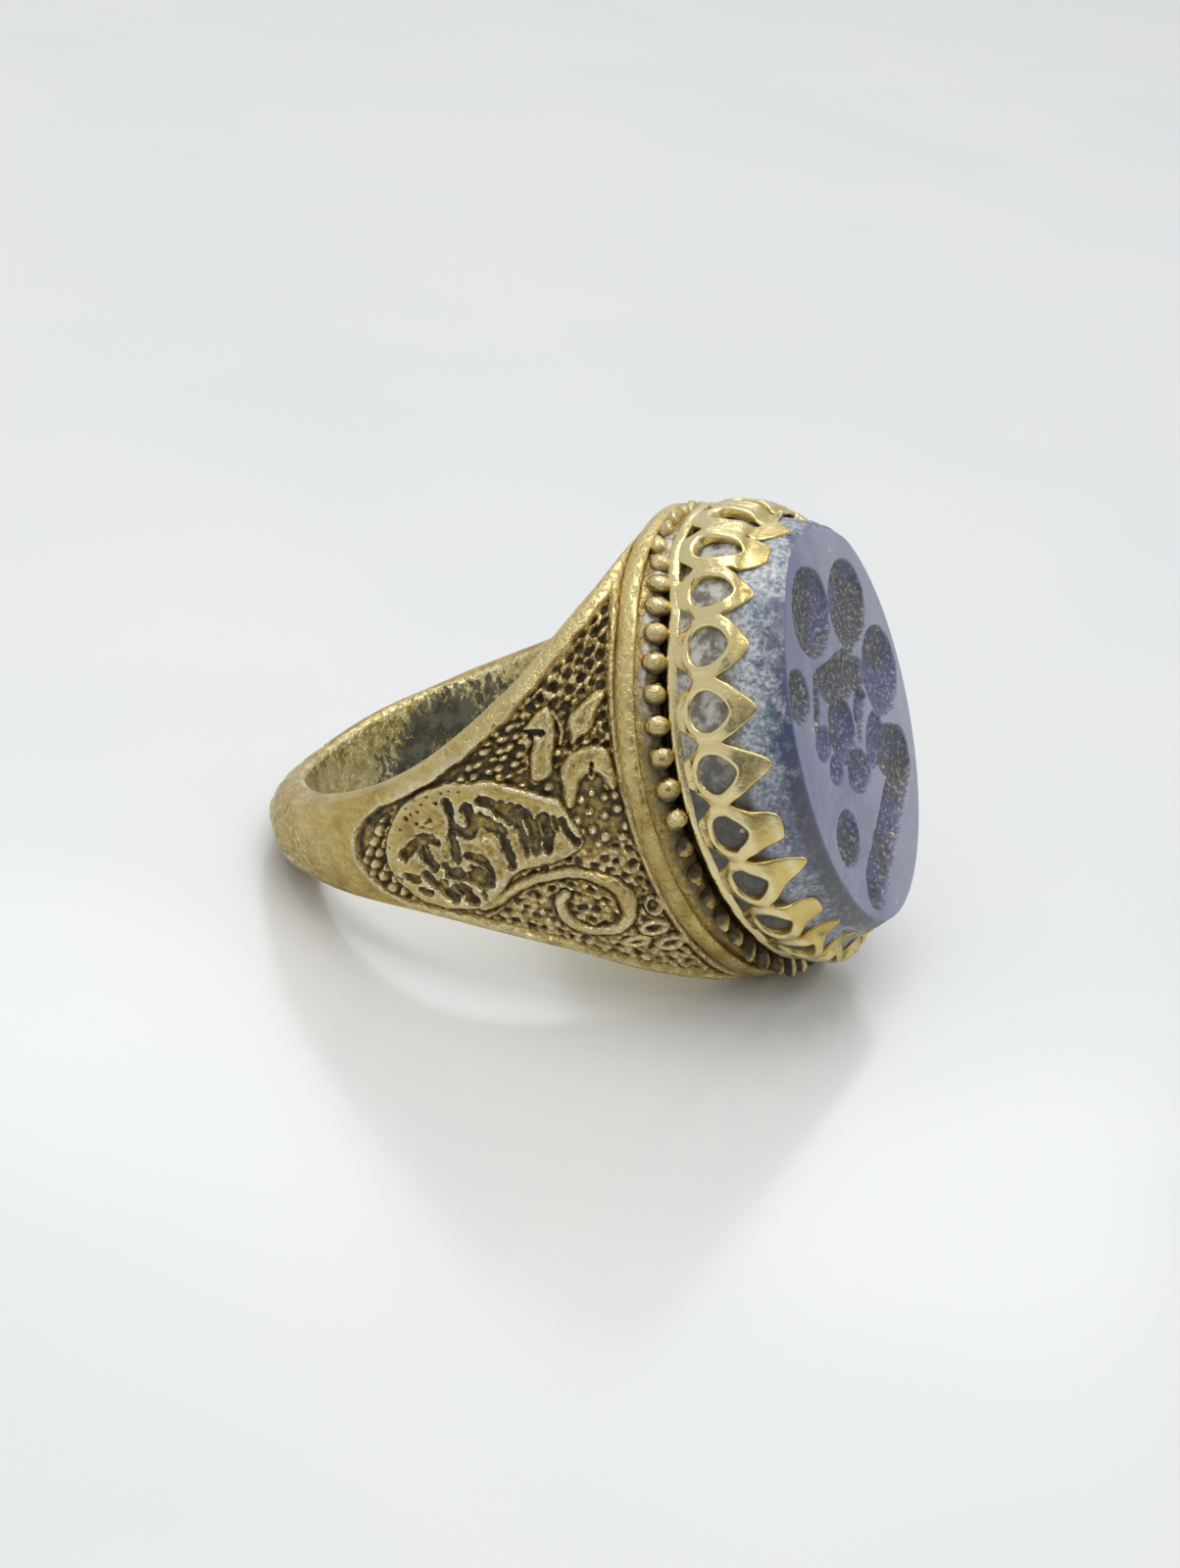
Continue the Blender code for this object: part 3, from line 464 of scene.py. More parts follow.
def ground_height(q, w, seed):
    """The granules, which change in size and order from place to place."""
    lumps = granules(q, w, seed + 5, (0.34, 0.34), 32.0, jitter=0.6, reach=0.56)
    woven = 0.15 + 0.32 * lumps - 0.5 * granules(q, w, seed, (0.6, 0.48), 32.0, jitter=0.4, reach=0.38)
    chains = 0.42 * granules(q, w, seed + 30, (0.54, 0.37), 4.0, jitter=0.36, reach=0.48)
    loose = 0.06 + 0.34 * granules(q, w, seed + 60, (0.66, 0.6), 20.0, jitter=0.6, reach=0.34)
    big = 0.42 * granules(q, w, seed + 90, (0.6, 0.54), 50.0, jitter=0.2, reach=0.47)
    fine = 0.14 + 0.15 * lumps - 0.2 * granules(q, w, seed + 120, (0.56, 0.5), -30.0, jitter=0.5, reach=0.38)
    upper = smooth((w - 2.2) / 0.4)
    near_head = smooth((4.0 - q) / 0.4)
    left_end = smooth((q - 9.9) / 0.4)
    lower = smooth((-1.0 - w) / 0.5)
    middle = near_head * woven + (1.0 - near_head) * chains
    height = upper * middle + (1.0 - upper) * (lower * fine + (1.0 - lower) * loose)
    return left_end * big + (1.0 - left_end) * height


def pad(depth_in, top, edge):
    """Height of a raised shape with a rounded edge, from the distance into it."""
    rise = np.clip((depth_in + 0.05) / edge, 0.0, 1.0)
    return top * np.sqrt(1.0 - (1.0 - rise) ** 2)


def stroke(distance, half, top):
    """Height of a rounded band, from the distance to its middle line."""
    return top * np.clip(1.0 - (distance / half) ** 2, 0.0, 1.0) ** 0.45


sample_q, sample_w = np.meshgrid(np.linspace(0.5, FIELD_LENGTH, 60), np.linspace(-5.0, 7.0, 60))
print("ground rises", round(float(ground_height(sample_q, sample_w, 11).max()), 2), "mm at most")

# %% [markdown]
# The leaf comes first, because it is the deepest and the most worked: a rounded
# pad, dished in its middle, then gouged and pitted.


# %% Height of the leaf
def leaf_height(q, w, warp_q, warp_w, into_leaf, seed):
    """Height of the leaf above the sunk field."""
    dished = 0.21 * smooth(1.6 - np.hypot((q - 6.1) / 2.9, (w + 0.2) / 1.75))
    leaf = pad(into_leaf, LEAF_TOP, 0.2) - dished * smooth((into_leaf - 0.3) / 0.3)
    leaf = leaf + 0.4 * dished * rough_noise(q * 2.6, w * 2.6, seed + 6) * smooth((into_leaf - 0.2) / 0.3)
    gouged = np.zeros_like(q)
    for path, width, deep in GOUGES:
        uneven = width * (1.5 + 0.5 * soft_noise(q * 3.6, w * 3.6, seed + 8))
        gouged = np.maximum(gouged, stroke(path_distance(warp_q, warp_w, path), uneven, deep))
    for centre_q, centre_w, radius in PITS:
        gouged = np.maximum(gouged, stroke(np.hypot(warp_q - centre_q, warp_w - centre_w), radius, PIT_DEPTH))
    crest = np.zeros_like(q)
    for path, width, top in CRESTS:
        crest = np.maximum(crest, stroke(path_distance(warp_q, warp_w, path), width, top))
    return leaf - gouged * smooth(into_leaf / 0.1) + crest * smooth((into_leaf + 0.06) / 0.06)


sample_leaf = leaf_height(sample_q, sample_w, sample_q, sample_w, into_path(sample_q, sample_w, LEAF), 11)
print("leaf rises", round(float(sample_leaf.max()), 2), "mm at most")

# %% [markdown]
# The small motifs lie beside it: a trunk, a bud and an arch with dished tops, two
# notches, a thin blade and a few seeds. Each also says how far a point is inside
# it, so that the granules can stop there.

# %% Small motifs
# Each outline, its height and how deep its top is dished
MOTIFS = ((TRUNK, 0.44, 0.07), (BUD, 0.42, 0.09), (ARCH, 0.42, 0.05))
# Each notch's path, its half width and its depth
MOTIF_NOTCHES = (
    (((3.75, 3.97), (3.3, 3.97), (2.98, 3.88)), 0.13, 0.4), (((1.2, 1.95), (1.12, 2.25)), 0.09, 0.24),
)
BLADE, BLADE_HALF = ((2.45, 4.62), (2.24, 4.2), (2.14, 3.75), (2.26, 3.3)), 0.1


def add_motifs(q, w, features, clear):
    """Heights with the motifs added, and how far inside a motif each point is."""
    for motif, top, dish in MOTIFS:
        into = into_path(q, w, motif)
        features = np.maximum(features, pad(into, top, 0.3) - dish * smooth((into - 0.2) / 0.25))
        clear = np.maximum(clear, into)
    notched = np.zeros_like(q)
    for path, half, deep in MOTIF_NOTCHES:
        notched = np.maximum(notched, stroke(path_distance(q, w, path), half, deep))
    features = features - notched
    blade_far = path_distance(q, w, BLADE)
    features = np.maximum(features, stroke(blade_far, BLADE_HALF, 0.34))
    clear = np.maximum(clear, BLADE_HALF - blade_far)
    for centre_q, centre_w, half_q, half_w in SEEDS:
        far = np.hypot((q - centre_q) / half_q, (w - centre_w) / half_w)
        ring = stroke(np.abs(far - 0.8) * half_w, 0.12, 0.32)
        features = np.maximum(features, np.maximum(ring, 0.12 * np.clip(1.0 - far, 0.0, 1.0)))
        clear = np.maximum(clear, (1.0 - far) * half_w)
    return features, clear


print(len(MOTIFS) + 1 + len(SEEDS), "small motifs,", len(MOTIF_NOTCHES), "notches in them")

# %% [markdown]
# Then all of it goes together. The field is sunk below the rim strips, motifs and
# ground take whichever is higher, and the ground stops short of a motif's edge.
# The drawn lines are warped a little by noise, because no real line is straight.


# %% Height of the carving
def into_sunk_field(q, w, half, seed):
    """Distance inside the edge of the sunk field, negative on the rim strips."""
    edge = field_edge(q, w < 0.0) * half
    round_end = np.clip(1.0 - (FIELD_LENGTH - q) / FIELD_END_LENGTH, 0.0, None)
    into_field = (1.0 - np.hypot(w / edge, round_end)) * np.minimum(edge, FIELD_END_LENGTH) * 0.85
    into_field = np.minimum(into_field, q - FIELD_HEAD_MARGIN)
    return into_field + 0.035 * soft_noise(q * 2.5, w * 2.5, seed + 5)


def carved_heights(q, w, half, seed):
    """Height of the carved shoulder above its smooth form, its wear and where it is sunk."""
    warp_q = q + 0.05 * soft_noise(q * 1.3, w * 1.3, seed) + 0.03 * soft_noise(q * 5.0, w * 5.0, seed + 1)
    warp_w = w + 0.05 * soft_noise(q * 1.3, w * 1.3, seed + 2) + 0.03 * soft_noise(q * 5.0, w * 5.0, seed + 4)
    into_field = into_sunk_field(q, w, half, seed)
    sunk = smooth(into_field / 0.13)

    into_leaf = into_path(warp_q, warp_w, LEAF)
    features = leaf_height(q, w, warp_q, warp_w, into_leaf, seed)
    scroll_far = path_distance(warp_q, warp_w, SCROLL)
    scroll_half = 0.25 + 0.18 * np.exp(-((q - 1.4) ** 2 + (w + 3.5) ** 2) / 0.8)
    features = np.maximum(features, stroke(scroll_far, scroll_half, 0.37))
    clear = np.maximum(into_leaf, scroll_half - scroll_far)
    features, clear = add_motifs(warp_q, warp_w, features, clear)

    groove = 0.04 + 0.3 * smooth((q - 5.6) / 1.2) * (w > 0.0)
    ground = ground_height(warp_q, warp_w, seed) * smooth((into_field - groove) / 0.12)
    ground = ground * (0.3 + 0.7 * smooth((-clear - 0.01) / 0.1)) * (clear < 0.04)
    height = sunk * (np.maximum(ground, features) - FIELD_DEPTH)
    worn = 0.022 * rough_noise(q * 1.7, w * 1.7, seed + 9) + 0.016 * rough_noise(q * 6.0, w * 6.0, seed + 10)
    return height, worn, sunk


sample = carved_heights(sample_q, sample_w, np.full(sample_q.shape, 8.0), 11)
print("carving spans", round(float(np.ptp(sample[0])), 2), "mm")

# %% [markdown]
# The head is built of ovals, one inside the other: over the raised edge, down into
# the channel that holds the beads, and on to the bed under the stone. All of them
# bend a little, like a saddle, because the head follows the finger.


# %% Ovals of the head
def plate_oval(out):
    """Oval of the head's plate, this far outside its back edge."""
    return HEAD_W + out, HEAD_V + out


def head_points(turn, oval, level, saddle, lean=HEAD_LEAN):
    """Points of one of the head's ovals, on the -v side."""
    w = oval[0] * np.cos(turn)
    v = -oval[1] * np.sin(turn)
    return np.stack([level + saddle * np.cos(2.0 * turn) + lean * w, v, w], axis=-1)


def bed_saddle(oval):
    """Bend of the head at an oval."""
    return SADDLE * (oval[0] / HEAD_W) ** 2


BEAD_COUNT, BEAD_R, BEAD_GAP, BEAD_SEAT, CROWN_FOOT_IN = 48, 0.48, 0.15, 0.36, 0.32


def bead_oval(out):
    """Oval on which the beads lie, this far further out."""
    step = BEAD_GAP + BEAD_SEAT + out - CROWN_FOOT_IN
    return CROWN_W + step, CROWN_V + step


# The raised edge: how far out, and how far up, from the plate's back edge
RIDGE_OUT = 0.32
RIDGE_PROFILE = (
    (0.0, 0.03), (0.13, 0.05), (0.23, 0.11), (0.3, 0.21), (0.335, 0.33), (0.345, 0.46), (0.335, 0.59),
    (0.3, 0.71), (0.25, 0.8), (0.17, 0.86), (0.08, 0.87), (0.0, 0.82), (-0.07, 0.75), (-0.13, 0.71),
)
print("bead oval", [round(r, 2) for r in bead_oval(0.0)], "mm")

# %% [markdown]
# One side of the hoop is a sheet whose rows run round the section, from the
# outside over the rim and through the finger hole. The columns follow the rim
# strip, so its inner edge stays crisp. The carving pushes each outside point along
# the surface's own normal, and a value on each point remembers how deep it lies,
# for the dark dirt of the hollows, and how much it is rubbed and given a painted
# highlight.

# %% Outside of the hoop
STRIP_COLUMNS, FIELD_COLUMNS = 9, 118
NOTCH_LONG, NOTCH_TALL, NOTCH_DEPTH = 0.14, 0.22, 0.24


def share_columns(q, fine):
    """Columns of each row as shares of the half width, dense over the rim strip."""
    steps = np.linspace(0.0, 1.0, STRIP_COLUMNS * fine + 1)[None, :] ** 1.5
    upper, lower = (np.arccos(np.clip(field_edge(q, low), -0.98, 0.98))[:, None] for low in (False, True))
    across = np.linspace(0.0, 1.0, FIELD_COLUMNS * fine + 1)[None, 1:-1]
    field = np.cos(upper) * (1.0 - across) - np.cos(lower) * across
    return np.concatenate([np.cos(steps * upper), field, -np.cos(steps * lower)[:, ::-1]], axis=1)


def outside_normals(q, share, outer):
    """Directions straight out of the smooth form."""
    safe = np.clip(share, -0.998, 0.998)
    ahead, back = np.minimum(q + 0.03, HALF_HOOP), np.maximum(q - 0.03, 0.0)
    run = shoulder_points(ahead, safe) - shoulder_points(back, safe)
    rise = shoulder_points(q, safe + 0.001) - shoulder_points(q, safe - 0.001)
    normal = np.cross(run, rise)
    radial = (outer[..., :2] * normal[..., :2]).sum(axis=-1, keepdims=True)
    normal *= np.sign(np.where(outer[..., :1] < -4.0, radial, -normal[..., 1:2]) + 1e-12)
    return normal / (np.linalg.norm(normal, axis=-1, keepdims=True) + 1e-9)


def carved_shoulder(q, share, seed):
    """Carved outside points with their dirt, and a painted highlight on rubbed tops and the palm's lower
    corner.
    """
    q = np.broadcast_to(q, share.shape)
    outer = shoulder_points(q, share)
    height, worn, sunk = carved_heights(q, outer[..., 2], hoop_section(q)[4], seed)
    notched = np.zeros(height.shape)
    for notch_q, notch_w in PALM_NOTCHES:
        far = np.hypot((q - notch_q) / NOTCH_LONG, (outer[..., 2] - notch_w) / NOTCH_TALL)
        notched = np.maximum(notched, smooth(1.5 - far))
    calm = smooth((HALF_HOOP - q) / 2.5) * smooth(q / 0.3) * smooth((1.0 - np.abs(share)) / 0.06)
    height = height - NOTCH_DEPTH * notched + worn * calm
    cavity = np.clip(blurred(height, 14) - height, -0.3, 0.3) / 0.12
    depth = sunk * np.clip(-height / FIELD_DEPTH, 0.0, 1.2)
    dirt_and_shade = np.clip(0.1 + 0.55 * depth + 0.5 * cavity + 0.75 * notched, 0.0, 1.0)
    # Painted highlight along the palm's lower corner and on the raised tops, which are also rubbed.
    corner = 0.4 * smooth((q - PALM_START) / 2.0) * smooth((-share - 0.55) / 0.3)
    rub_and_painted_shine = np.clip(corner * (1.0 - notched) - cavity, 0.0, 1.0)
    return outer + outside_normals(q, share, outer) * height[..., None], dirt_and_shade, rub_and_painted_shine


print(len(share_columns(np.array((5.0,)), 1)[0]), "columns across the outside")

# %% [markdown]
# The sheet is then led on over the rim, which bulges a little, through the
# chamfer and down the finger hole, until it meets its own first column again. Rows
# in the ring's middle plane are held there, so that the two sides meet.


# %% Whole sheet of the hoop
def hoop_sheet(side, seed, q, fine, coarse_start=False):
    """Sheet of the hoop whose rows are the closed sections at q."""
    share = share_columns(q, fine)
    outer, dirt_and_shade, rub_and_painted_shine = carved_shoulder(q[:, None], share, seed)
    if coarse_start:
        outer[0, 1::2] = outer[0, 0:-1:2]
    angle = hoop_section(q)[5]
    half = rim_half(angle)
    top, low = outer[:, 0], outer[:, -1]

    def bore_point(grow, w):
        return np.stack([(BORE_U + grow) * np.cos(angle), -(BORE_V + grow) * np.sin(angle), w], axis=-1)

    edges = ((BORE_CHAMFER, 0.0), (0.08, 0.08), (0.0, 0.24))
    upper = [bore_point(grow, half - inset) for grow, inset in edges]
    lower = [bore_point(grow, inset - half) for grow, inset in edges]
    wall = [bore_point(0.0, (half - edges[-1][1]) * s) for s in (-0.6, -0.2, 0.2, 0.6)]
    bulge = np.array((0.0, 0.0, 0.1))
    steps = (0.12, 0.35, 0.65, 0.88)
    rim_top = [top + (upper[0] - top) * t + bulge * math.sin(math.pi * t) for t in steps]
    rim_low = [low + (lower[0] - low) * t - bulge * math.sin(math.pi * t) for t in steps]
    loop = rim_low + lower + wall + upper[::-1] + rim_top[::-1] + [top]
    hoop = np.concatenate([outer] + [column[:, None, :] for column in loop], axis=1)
    columns = outer.shape[1]
    if q[0] == HALF_HOOP:
        hoop[0, :, 1] = 0.0
    if q[-1] == 0.0:
        hoop[-1, columns - 1:, 1] = 0.0
        hoop[-1, 0, 1] = 0.0
    hoop[..., 1] *= side
    inside = np.zeros(hoop.shape[:2])
    first = columns + len(rim_low)
    inside[:, first:first + len(lower + wall + upper)] = 1.0
    extra = ((0, 0), (0, len(loop)))
    return add_sheet("hoop_sheet", hoop, patina=np.pad(dirt_and_shade, extra, constant_values=0.12),
                     rub=np.pad(rub_and_painted_shine, extra), inside=inside, crust=inside * 0.0), share[-1], outer[-1]


# %% [markdown]
# The plate starts from the hoop's last row, so the two share their edge. In the
# channel the casting left a lumpy crust, and at the top end it nearly fills it.

# %% Sheet of the head's plate
LEDGE = bead_oval(0.12)
HALF_WAY = (0.5 * (HEAD_W - 0.1 + LEDGE[0]), 0.5 * (HEAD_V - 0.1 + LEDGE[1]))
# Each oval of the plate, its drop under the bed, and how dirty it is
PLATE_ROWS = (
    (HALF_WAY, -0.1, 0.75), (LEDGE, -0.2, 0.8),
    (bead_oval(-0.2), -0.3, 0.8), (bead_oval(-0.5), -0.28, 0.8), (bead_oval(-1.6), 0.05, 0.6),
    ((6.0, 4.7), 0.0, 0.5), ((3.0, 2.3), 0.0, 0.5), ((0.001, 0.001), 0.0, 0.5),
)
CRUST_DIRT = 0.7


def plate_sheet(side, seed, share, first_row):
    """Sheet of the head: over the raised edge, through the channel and over the bed."""
    turn = np.arccos(np.clip(share, -1.0, 1.0))
    rows, dirt_and_shade = [first_row], [0.35]
    furthest = max(out for out, _ in RIDGE_PROFILE)
    for out, rise in RIDGE_PROFILE:
        oval = plate_oval(out * RIDGE_OUT / furthest)
        uneven = 0.03 * soft_noise(turn * 9.0, turn * 0 + rise, seed + 21)
        uneven = uneven * math.sin(math.pi * min(1.0, rise)) * smooth(np.sin(turn) / 0.06)
        uneven_oval = (oval[0] + uneven, oval[1] + uneven)
        rows.append(head_points(turn, uneven_oval, RIDGE_BACK + rise, bed_saddle(oval)))
        dirt_and_shade.append(0.45 if rise < 0.08 or out < 0.1 else 0.1)
    filled = 0.5 * smooth((math.radians(36.0) - turn) / math.radians(14.0))
    for oval, drop, depth in PLATE_ROWS:
        lump = rough_noise(turn * 14.0, turn * 0 + oval[0] * 3.0, seed + 23, 2) * smooth(np.sin(turn) / 0.1)
        lump = (filled + (0.09 + 0.2 * filled) * lump) * (depth > CRUST_DIRT)
        rows.append(head_points(turn, oval, BED - drop + lump, bed_saddle(oval)))
        dirt_and_shade.append(depth)
    plate = np.stack(rows)
    plate[:, (0, -1), 1] = 0.0
    plate[..., 1] *= side
    blank = np.zeros(plate.shape[:2])
    dirt_and_shade = blank + np.array(dirt_and_shade)[:, None]
    crust = blank + (dirt_and_shade > CRUST_DIRT)
    return add_sheet("plate_sheet", plate, patina=dirt_and_shade, rub=blank, inside=blank, crust=crust)


print(len(RIDGE_PROFILE), "rows over the raised edge,", len(PLATE_ROWS), "to the middle of the bed")

# %% [markdown]
# The near side is the one that the camera sees. Its part near the head has twice
# the columns, and the first row there doubles the points of the coarser sheet, so
# they merge. The rows are closest in the carving and at the palm's notches. The far
# side is carved in the same way from another seed, with fewer rows.

# %% The carved shank
SPLIT = 5.5
PALM_END = 12.8
NEAR_SEED, FAR_SEED = 11, 47
palm_rows = [np.linspace(HALF_HOOP, 20.4, 30), np.linspace(20.3, 16.7, 37), np.linspace(16.5, PALM_END, 13)]
near_rows = np.concatenate(palm_rows + [np.linspace(12.74, SPLIT, 124)])
far_rows = np.concatenate([np.linspace(HALF_HOOP, PALM_END, 30), np.linspace(12.7, 0.0, 132)])
near_hoop, share, row = hoop_sheet(1.0, NEAR_SEED, near_rows, 1)
near_head, share, row = hoop_sheet(1.0, NEAR_SEED, np.linspace(SPLIT, 0.0, 102), 2, coarse_start=True)
near_plate = plate_sheet(1.0, NEAR_SEED, share, row)
far_hoop, share, row = hoop_sheet(-1.0, FAR_SEED, far_rows, 1)
far_plate = plate_sheet(-1.0, FAR_SEED, share, row)
shank = join_sheets([near_hoop, near_head, near_plate, far_hoop, far_plate], "carved_shank")
describe(shank)

# %% [markdown]
# A row of cast beads fills the channel between the raised edge and the crown. One
# sphere is pulled to a slightly longer bead and copied round the oval. It could be
# an array along a curve, but then all beads would be alike: here each copy has its
# own mesh and is squeezed a little differently, as cast beads are.

# %% One bead
bpy.ops.object.select_all(action="DESELECT")
bpy.ops.mesh.primitive_uv_sphere_add(segments=18, ring_count=12, radius=1.0)
bead_model = bpy.context.object
bpy.ops.object.mode_set(mode="EDIT")
bpy.ops.mesh.select_all(action="SELECT")
bpy.ops.transform.resize(value=(1.0, 1.0, 1.08))
bpy.ops.object.mode_set(mode="OBJECT")
bead_shape = np.empty(len(bead_model.data.vertices) * 3, np.float32)
bead_model.data.vertices.foreach_get("co", bead_shape)
bead_shape = bead_shape.reshape(-1, 3).astype(float)
print("one bead has", len(bead_shape), "points")

# %% [markdown]
# A bead needs to know where it lies and which way is along the row, up and out of
# the head. On the lower half of the near side the row was poorly cast, so the beads
# are flat and dirty there, and at the top end they are half buried in the crust.
# Good beads are painted darker below as shade, and all are painted paler on top as a highlight.

# %% The bead row
BEAD_PHASE = math.radians(4.0)
BEAD_LEVEL = BED + 0.38


def bead_axes(turn):
    """Centre of a bead, and the directions along the row, up and outward."""
    oval = bead_oval(0.0)
    centre = head_points(np.array(turn), oval, BEAD_LEVEL, bed_saddle(oval))
    tangent = head_points(np.array(turn + 0.01), oval, BEAD_LEVEL, bed_saddle(oval)) - centre
    tangent /= np.linalg.norm(tangent)
    outward = np.array((0.32, -math.sin(turn), math.cos(turn)))
    outward -= tangent * outward.dot(tangent)
    outward /= np.linalg.norm(outward)
    upward = np.cross(tangent, outward)
    return centre, tangent, upward * np.sign(upward[0]), outward


def add_bead(i):
    """One bead of the row, with its dirt, its painted shade and its painted highlight."""
    turn = BEAD_PHASE + 2.0 * math.pi * i / BEAD_COUNT
    centre, tangent, upward, outward = bead_axes(turn)
    poor = float(smooth((math.degrees(turn) - 88.0) / 20.0)) * (turn < math.pi)
    from_top = abs((math.degrees(turn) + 180.0) % 360.0 - 180.0)
    buried = float(smooth((30.0 - from_top) / 16.0))
    rough = 0.07 + 0.22 * max(poor, 0.7 * buried)
    x, y, z = bead_shape.T
    wobble = 1.0 + rough * soft_noise(x * 1.6 + 9 * i, y * 1.6 + z, 31)
    size = BEAD_R * (0.95 + 0.12 * float(lattice(np.array(i), np.array(2), 5)))
    squeeze = (1.0 - 0.25 * poor, 1.08 - 0.5 * poor - 0.4 * buried, 1.0 + 0.15 * poor)
    local = bead_shape * (size * wobble)[:, None] * squeeze
    spread = local[:, :1] * tangent + local[:, 1:2] * upward + local[:, 2:] * outward
    bead = bead_model.copy()
    bead.data = bead_model.data.copy()
    bpy.context.collection.objects.link(bead)
    points = centre + spread - 0.4 * buried * upward - 0.12 * buried * outward
    bead.data.vertices.foreach_set("co", to_world(points).reshape(-1).astype(np.float32))
    # Painted shade on the lower side, painted highlight on top; poorly cast beads darken along the row
    # instead, dirt with painted light on the lower edge, and buried ones are dirtier.
    height = spread[:, 2] / BEAD_R + 0.3 * y
    stain_and_shade = (0.42 - 0.8 * height) * (1.0 - poor) + (0.5 - 0.8 * x) * poor + 0.3 * buried
    for layer, values in (("patina", stain_and_shade), ("rub", 0.85 * height * (1.0 - 0.6 * buried))):
        data = bead.data.attributes.new(layer, "FLOAT", "POINT").data
        data.foreach_set("value", np.clip(values, 0.0, 1.0).astype(np.float32))
    return bead


beads = [add_bead(i) for i in range(BEAD_COUNT)]
bpy.data.objects.remove(bead_model)
beads = join_sheets(beads, "bead_row", merge=0.0002, sharp=60.0)
describe(beads)

# %% [markdown]
# The crown is a collar sawn and filed from sheet: a plain foot band, then an arch
# round each drop-shaped hole with a tooth on top, and small three-cornered
# openings between the arches. It bulges at its belly and closes in at the tips, so
# that the teeth lean on the stone. That surface comes first: everything is laid on it.

# %% The crown's surface
# How far the crown stands out from its rim at each level
CROWN_STEPS = (
    (CROWN_FOOT, -CROWN_FOOT_IN), (CROWN_RIM, 0.0), (CROWN_RIM + LIP_RISE, 0.02), (BELLY, 0.3),
    (0.5 * (BELLY + TIP), 0.17), (TIP, -0.42), (TIP + 0.6, -0.65),
)


def crown_oval(level):
    """Outline of the crown's outside at a level."""
    steps = curve_through(CROWN_STEPS, level)
    return CROWN_W + steps, CROWN_V + steps


def crown_points(turn, level, out):
    """Points this far outside the crown's surface."""
    levels = (CROWN_FOOT, CROWN_RIM, TIP)
    saddle = np.interp(level, levels, (FOOT_SADDLE, CROWN_SADDLE, TIP_SADDLE))
    lean = np.interp(level, levels, (HEAD_LEAN, HEAD_LEAN, TIP_LEAN))

    def surface(t, u):
        return head_points(t, crown_oval(u), u, saddle, lean)

    point = surface(turn, level)
    along = surface(turn + 0.002, level) - surface(turn - 0.002, level)
    up = surface(turn, level + 0.01) - surface(turn, level - 0.01)
    normal = np.cross(up, along)
    normal /= np.linalg.norm(normal, axis=-1, keepdims=True)
    side = np.sign((normal * point)[..., 1:].sum(axis=-1, keepdims=True))
    return point + normal * side * np.asarray(out)[..., None]


print("crown is", round(2.0 * float(crown_oval(BELLY)[0]), 1), "mm long at its belly")

# %% [markdown]
# The teeth have to hug the stone, so the stone's side has to be known before them.
# It is a low cone under a rounded edge, given as rows going down. At the two ends of
# the oval the stone sits in cement, which reaches further out.

# %% Shape of the stone's side
# How far out from the face's outline, and how far down from the face
SIDE_ROWS = (
    (0.0, 0.0), (0.035, 0.02), (0.06, 0.055), (0.09, 0.12), (0.16, 0.24), (0.25, 0.38), (0.33, 0.5),
    (0.38, 0.58), (0.43, 0.75), (0.48, 0.95), (0.56, 1.2), (0.66, 1.5), (0.78, 1.85), (0.9, 2.25),
    (0.98, 2.7), (1.0, 3.1), (0.98, 3.5), (0.94, 3.9), (0.9, 4.3), (0.5, 4.75), (0.0, 4.8), (-5.5, 4.8),
)


def end_fill(drop):
    """How much further the stone and its cement reach at the two ends of the oval."""
    return 0.34 * smooth((drop - 1.75) / 0.7) * smooth((4.6 - drop) / 0.5)


STONE_DROP = SIDE_ROWS[-1][1]
print("stone is", STONE_DROP, "mm deep")

# %% [markdown]
# A tooth with its arch is the metal between two closed outlines, a drop-shaped hole
# and a pointed edge. Half of each is drawn flat, its width as a share of the step
# from tooth to tooth and its height in millimetres. The teeth were bent and filed by
# hand, so those in front lean and end as on the real ring, and tables say how far.

# %% Outlines and bends of the teeth
TOOTH_COUNT, TOOTH_PHASE = 24, math.radians(8.0)
PITCH = 2.0 * math.pi / TOOTH_COUNT
PITCH_MM = 2.35
TOOTH_OUTLINE = (
    (0.0, 0.2), (0.22, 0.2), (0.28, 0.42), (0.38, 0.76), (0.48, 0.98), (0.515, 1.08), (0.517, 1.3),
    (0.517, 1.8), (0.51, 2.0), (0.495, 2.08), (0.46, 2.2), (0.38, 2.6), (0.275, 3.0), (0.155, 3.38),
    (0.06, 3.62), (0.0, 3.68),
)
HOLE_OUTLINE = (
    (0.0, 0.84), (0.1, 0.85), (0.2, 0.94), (0.285, 1.16), (0.315, 1.45), (0.3, 1.76), (0.235, 2.06),
    (0.14, 2.3), (0.06, 2.43), (0.0, 2.47),
)
# How far a tooth leans sideways, in steps, and how much longer it is, in mm
TOOTH_BENDS = {
    0: (-0.1, 0.15), 1: (-0.06, -0.15), 2: (0.0, -0.36), 3: (0.0, -0.4), 4: (0.0, -0.25), 5: (-0.04, -0.08),
    6: (0.06, -0.12), 7: (-0.14, 0.2), 8: (-0.02, 0.0), 9: (-0.2, 0.15), 10: (-0.2, 0.1),
    21: (0.05, -0.4), 22: (0.0, -0.8), 23: (0.05, -0.9),
}
BLUNT_TEETH = (1, 6, 8)
BLUNT_HALF = 0.14
# How far along, in steps, an arch was set off its even place
CELL_PLACES = (
    (0, 1, 2, 3, 4, 5, 6, 7, 8, 9, 24),
    (-0.09, 0.0, 0.05, 0.06, 0.12, 0.08, 0.07, 0.05, 0.03, 0.0, -0.09),
)
# How much higher or lower the valleys between teeth end
VALLEY_DROPS = (
    (-0.5, 0.7, 1.6, 2.6, 3.6, 4.6, 5.6, 6.6, 7.5, 8.6, 21.5, 22.5, 23.5),
    (1.0, 0.5, 0.16, 0.04, -0.1, -0.05, -0.22, -0.28, -0.14, 0.0, 0.1, 0.6, 1.0),
)
